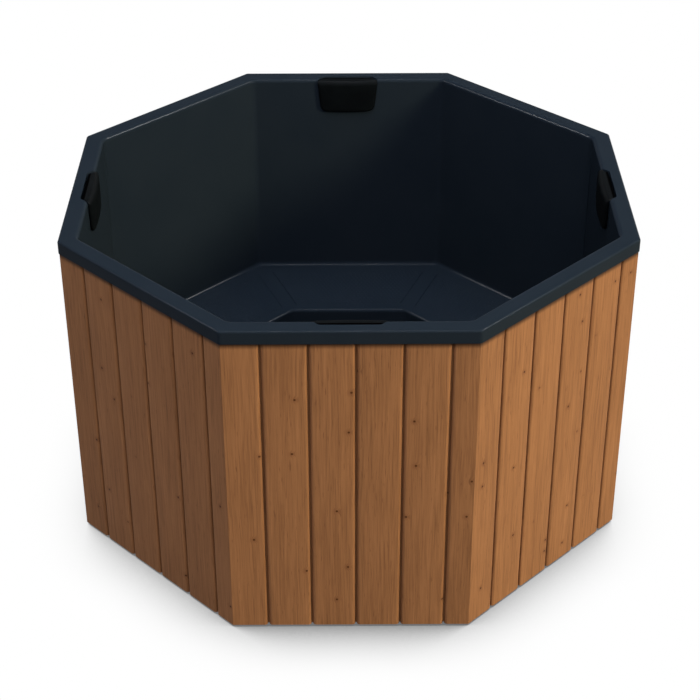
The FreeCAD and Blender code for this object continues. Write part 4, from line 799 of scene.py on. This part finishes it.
# %% Depths of a pad
PAD_FRONT = 0.731
PAD_BACK = 0.763
PAD_DEEP = PAD_BACK - PAD_FRONT
PAD_FRONT_ROUND = 0.008
PAD_BACK_ROUND = 0.006
# The first number is the depth of the back band that is painted dark as the shade in the gap to the notch.
# The second spaces the loop that keeps its edge crisp.
PAD_SHADE_BAND = 0.006
SHADE_BAND_EDGE = 0.002
FRONT_INSETS = (0.046, 0.037, 0.029, 0.022)
BACK_INSETS = (0.018, 0.030)
PAD_BOW = 0.80
PAD_BOW_FADE = 0.03
PAD_CROWN = 0.0012
PAD_CROWN_MIDDLE = 0.922
PAD_CROWN_HALF = 0.056


def rounding(radius, degrees):
    """Inset and depth of a loop on a rounding between the front or back and the leaning side."""
    a = math.radians(degrees)
    inset = math.hypot(1, PAD_LEAN) - math.sin(a) + PAD_LEAN * math.cos(a)
    return radius * inset, radius * (1 - math.cos(a))


def pad_levels():
    """Inset and depth of each loop, from the middle of the front to the middle of the back."""
    side = 90 + math.degrees(math.atan(PAD_LEAN))
    levels = [(inset, 0.0) for inset in FRONT_INSETS]
    levels += [rounding(PAD_FRONT_ROUND, side * i / 10) for i in range(11)]
    back = [rounding(PAD_BACK_ROUND, side + (180 - side) * i / 6) for i in range(7)]
    levels += [(0.0, PAD_DEEP - PAD_SHADE_BAND - SHADE_BAND_EDGE), (0.0, PAD_DEEP - PAD_SHADE_BAND)]
    levels += [(inset, PAD_DEEP + depth - 2 * PAD_BACK_ROUND) for inset, depth in back]
    return levels + [(inset, PAD_DEEP) for inset in BACK_INSETS]


def pad_point(flat, back):
    """A point of the pad on the front side of the tub. The front is bowed, the back is flat."""
    share = max(0.0, 1 - back / PAD_BOW_FADE)
    crown = PAD_CROWN * max(0.0, 1 - ((flat.y - PAD_CROWN_MIDDLE) / PAD_CROWN_HALF) ** 2)
    bow = flat.x ** 2 / (2 * PAD_BOW) - crown
    return Vector((flat.x, -(PAD_FRONT + back + bow * share), flat.y))


print("loops of a pad:", len(pad_levels()))

# %% [markdown]
# ## Headrests: the form
# Faces join each loop to the next, and two pegs at the back go into the notch. The vertices of the back
# band, where the gap to the notch is painted as shade, carry a mark for the material.

# %% Form of a pad
PAD_LOOP = 96
PEG_SPREAD = 0.090
PEG_HEIGHT = 0.928
PEG_MIDDLE = 0.768
PEG_RADII = (0.0042, 0.005)
PEG_LENGTH = 0.015

pad_form = bmesh.new()
# The back band carries a mark, because the gap to the notch is painted dark there as shade.
seam = pad_form.verts.layers.float.new("seam")
loops = []
for inset, back in pad_levels():
    loop = [pad_form.verts.new(pad_point(p, back)) for p in even(pad_loop(inset, back), PAD_LOOP)]
    for vert in loop:
        vert[seam] = 1.0 if back > PAD_DEEP - PAD_SHADE_BAND - SHADE_BAND_EDGE / 2 else 0.0
    loops.append(loop)
for first, second in zip(loops, loops[1:]):
    for i in range(PAD_LOOP):
        j = (i + 1) % PAD_LOOP
        pad_form.faces.new((first[i], first[j], second[j], second[i]))
pad_form.faces.new(loops[0][::-1])
pad_form.faces.new(loops[-1])
for x in (-PEG_SPREAD / 2, PEG_SPREAD / 2):
    peg = Matrix.Translation((x, -PEG_MIDDLE, PEG_HEIGHT)) @ Matrix.Rotation(math.pi / 2, 4, "X")
    bmesh.ops.create_cone(pad_form, cap_ends=True, segments=24, radius1=PEG_RADII[0], radius2=PEG_RADII[1],
                          depth=PEG_LENGTH, matrix=peg)
bmesh.ops.recalc_face_normals(pad_form, faces=pad_form.faces)
print("headrest form:", len(pad_form.faces), "faces")

# %% [markdown]
# ## Skinned foam
# The skin of moulded foam is black and slightly shiny, with a fine leather-like grain pressed in by the
# mould. It is drawn at 1.6 mm, coarser than the real half millimetre, so that it shows close up. Round
# the back runs a band painted near black and matt as the shade in the gap between pad and notch, and it
# reads as a dark line.

# %% Skinned foam
SKIN_GRAIN = 0.0016
PRESS = 0.03

skinned_foam, tree = material("skinned_polyurethane_foam")
here = node(tree, "ShaderNodeTexCoord").outputs["Object"]
cells = node(tree, "ShaderNodeTexVoronoi", {"Vector": here, "Scale": 1 / SKIN_GRAIN},
             feature="DISTANCE_TO_EDGE")
press = node(tree, "ShaderNodeTexNoise", {"Vector": here, "Scale": 1 / PRESS, "Detail": 2.0})
colour = node(tree, "ShaderNodeMix", {0: press, 6: linear("08090A"), 7: linear("0D1010")}, data_type="RGBA")
# The back band is near black, matt and with little shine. This is painted shade in the gap between pad and
# notch.
gap_shade_band = node(tree, "ShaderNodeAttribute", attribute_name="seam").outputs["Fac"]
colour = node(tree, "ShaderNodeMix", {0: gap_shade_band, 6: colour.outputs[2], 7: linear("020202")},
              data_type="RGBA")
skin = node(tree, "ShaderNodeBump", {"Height": cells, "Strength": 0.12, "Distance": 0.0003})
satin = node(tree, "ShaderNodeMapRange", {"Value": press, "To Min": 0.4, "To Max": 0.52})
satin = node(tree, "ShaderNodeMix", {0: gap_shade_band, 2: satin, 3: 0.9})
shine = node(tree, "ShaderNodeMapRange", {"Value": gap_shade_band, "To Min": 0.5, "To Max": 0.05})
surface = node(tree, "ShaderNodeBsdfPrincipled", {"Base Color": colour.outputs[2], "Roughness": satin,
                                                 "Normal": skin, "IOR": 1.08, "Specular IOR Level": shine})
node(tree, "ShaderNodeOutputMaterial", {"Surface": surface})
print("skinned foam: grain", SKIN_GRAIN * 1000, "mm")

# %% [markdown]
# ## The four pads
# The form is made once at the front and turned by quarters. The turn goes into the mesh, so every object
# stays at the origin, and each pad rides on its own body and comes out of its notch with it.

# %% Four pads
for quarter, name in enumerate(["front", "right", "back", "left"]):
    mesh = bpy.data.meshes.new("headrest_pad_" + name)
    pad_form.to_mesh(mesh)
    mesh.transform(Matrix.Rotation(quarter * math.pi / 2, 4, "Z"))
    pad = bpy.data.objects.new("headrest_pad_" + name, mesh)
    scene.collection.objects.link(pad)
    put_on(pad, skinned_foam)
    soften(pad, 40)
    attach(pad, "headrest_" + name)
    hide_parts("headrest_" + name)
    print(pad.name, [round(v, 3) for v in pad.dimensions])
pad_form.free()

# %% [markdown]
# ## Hidden timber frame
# Behind the boards stand battens, posts, rails and bearers of planed, unfinished softwood. They show only
# from below. The eye sees pale streaks that run along each piece. One material with a painted direction
# would need a UV map on every piece. Pieces of the ring lie along the side they belong to, so it is
# enough to turn the pattern by the angle of the nearest side.

# %% Planed softwood
PALE_STREAK = 0.007


def planed_softwood(name, lie):
    """Unfinished pine. lie is ring, upright or through, the way in which the pieces run."""
    made, tree = material(name)
    here = node(tree, "ShaderNodeTexCoord").outputs["Object"]
    if lie == "ring":
        axes = node(tree, "ShaderNodeSeparateXYZ", {0: here}).outputs
        angle = node(tree, "ShaderNodeMath", {0: axes["X"], 1: axes["Y"]}, operation="ARCTAN2")
        turns = node(tree, "ShaderNodeMath", {0: angle, 1: math.pi / 4}, operation="SNAP")
        here = node(tree, "ShaderNodeVectorRotate", {"Vector": here, "Angle": turns},
                    rotation_type="Z_AXIS")
    stretch = {"ring": (0.04, 1, 1), "upright": (1, 1, 0.04), "through": (1, 0.04, 1)}[lie]
    along = node(tree, "ShaderNodeVectorMath", {0: here, 1: stretch}, operation="MULTIPLY")
    streak = node(tree, "ShaderNodeTexNoise", {"Vector": along, "Scale": 1 / PALE_STREAK, "Detail": 3.0})
    colour = node(tree, "ShaderNodeMix", {0: streak, 6: linear("A98555"), 7: linear("D0B07E")},
                  data_type="RGBA")
    relief = node(tree, "ShaderNodeBump", {"Height": streak, "Strength": 0.2, "Distance": 0.0006})
    surface = node(tree, "ShaderNodeBsdfPrincipled", {"Base Color": colour.outputs[2], "Roughness": 0.72,
                                                     "Normal": relief, "Specular IOR Level": 0.3})
    node(tree, "ShaderNodeOutputMaterial", {"Surface": surface})
    return made


ring_pine = planed_softwood("planed_pine_round_the_ring", "ring")
post_pine = planed_softwood("planed_pine_upright", "upright")
bearer_pine = planed_softwood("planed_pine_front_to_back", "through")
for name in SIDES:
    put_on("battens_" + name, ring_pine)
    put_on("sole_plate_" + name, ring_pine)
put_on("seat_rails", ring_pine)
put_on("corner_posts", post_pine)
for name in ("left", "middle", "right"):
    put_on("bearer_" + name, bearer_pine)
print("timber pieces finished:", 2 * len(SIDES) + 5)

# %% [markdown]
# ## Plumbing plastics and rubber
# Pipes are extruded grey plastic with a dull shine. Flanges, nuts and the valve are mouldings with a fine
# spark texture, the lever is a red moulding, the rings are matt rubber. They differ only in a few
# numbers, so one function makes them all. The textures are drawn at 1 to 2 mm, several times coarser than
# a real mould's, to show close up.

# %% Plastics and rubber
BLOTCH = 0.03


def moulding(name, dark, light, grain, depth, gloss, specular=0.4):
    """A moulded or extruded polymer: a slightly uneven colour and a fine surface texture."""
    made, tree = material(name)
    here = node(tree, "ShaderNodeTexCoord").outputs["Object"]
    cloud = node(tree, "ShaderNodeTexNoise", {"Vector": here, "Scale": 1 / BLOTCH, "Detail": 2.0})
    colour = node(tree, "ShaderNodeMix", {0: cloud, 6: linear(dark), 7: linear(light)}, data_type="RGBA")
    spark = node(tree, "ShaderNodeTexNoise", {"Vector": here, "Scale": 1 / grain, "Detail": 1.0})
    relief = node(tree, "ShaderNodeBump", {"Height": spark, "Strength": 0.15, "Distance": depth})
    shine = node(tree, "ShaderNodeMapRange",
                 {"Value": cloud, "To Min": gloss - 0.05, "To Max": gloss + 0.05})
    surface = node(tree, "ShaderNodeBsdfPrincipled", {"Base Color": colour.outputs[2], "Roughness": shine,
                                                     "Normal": relief, "Specular IOR Level": specular})
    node(tree, "ShaderNodeOutputMaterial", {"Surface": surface})
    return made


FINISHES = {
    moulding("extruded_grey_pvc", "8B8E91", "9A9DA0", 0.0020, 0.0002, 0.35):
        ["heater_return_pipe", "heater_supply_pipe", "heater_couplings", "drain_pipe", "drain_outlet"],
    moulding("black_moulded_abs", "141518", "1D1E22", 0.0009, 0.0002, 0.45):
        ["heater_flanges", "heater_locknuts", "heater_collars", "drain_flange", "drain_sump",
         "drain_collar"],
    moulding("dark_grey_moulded_pvc", "3A3D41", "45484D", 0.0009, 0.0002, 0.42):
        ["valve_body", "valve_union_nuts"],
    moulding("black_rubber", "0C0C0C", "141414", 0.0012, 0.0003, 0.7, 0.3):
        ["heater_gaskets", "drain_gasket"],
    moulding("red_moulded_abs", "8E1512", "A01C16", 0.0009, 0.0002, 0.36): ["valve_lever"],
    moulding("pale_moulded_acetal", "CFCFC9", "DADAD4", 0.0012, 0.0001, 0.32): ["valve_ball", "valve_stem"],
}
for finish, names in FINISHES.items():
    for name in names:
        put_on(name, finish)
print("polymers:", [finish.name for finish in FINISHES])

# %% [markdown]
# ## Stainless and zinc
# The strainer is stainless steel with a satin brushed finish, which spreads a highlight across the
# strokes. They are drawn at 0.8 mm, coarser than real ones. The corner plates have a zinc coat, and the
# eye sees its cloudy crystals, 8 mm wide. Both are plain metals: only colour and roughness vary.

# %% Stainless and zinc
METALS = {
    # node that it goes on, whether it is brushed, dark and light colour, smoothest and roughest
    "satin_stainless_steel": ("drain_strainer", True, "B4B5B6", "CFD0D0", 0.28, 0.42),
    "zinc_plated_steel": ("corner_plates", False, "A9ACAF", "C3C6C9", 0.35, 0.5),
}
STROKE = 0.0008
CRYSTAL = 0.008

for name, (piece, brushed, dark, light, smooth, rough) in METALS.items():
    metal, tree = material(name)
    here = node(tree, "ShaderNodeTexCoord").outputs["Object"]
    if brushed:
        along = node(tree, "ShaderNodeVectorMath", {0: here, 1: (0.03, 1.0, 1.0)}, operation="MULTIPLY")
        pattern = node(tree, "ShaderNodeTexNoise", {"Vector": along, "Scale": 1 / STROKE, "Detail": 2.0})
    else:
        crystals = node(tree, "ShaderNodeTexVoronoi", {"Vector": here, "Scale": 1 / CRYSTAL})
        pattern = node(tree, "ShaderNodeSeparateColor", {0: crystals.outputs["Color"]})
    colour = node(tree, "ShaderNodeMix", {0: pattern, 6: linear(dark), 7: linear(light)}, data_type="RGBA")
    shine = node(tree, "ShaderNodeMapRange", {"Value": pattern, "To Min": smooth, "To Max": rough})
    surface = node(tree, "ShaderNodeBsdfPrincipled", {"Base Color": colour.outputs[2], "Roughness": shine,
                                                     "Metallic": 1.0})
    node(tree, "ShaderNodeOutputMaterial", {"Surface": surface})
    put_on(piece, metal)
    print(name, "on", piece)
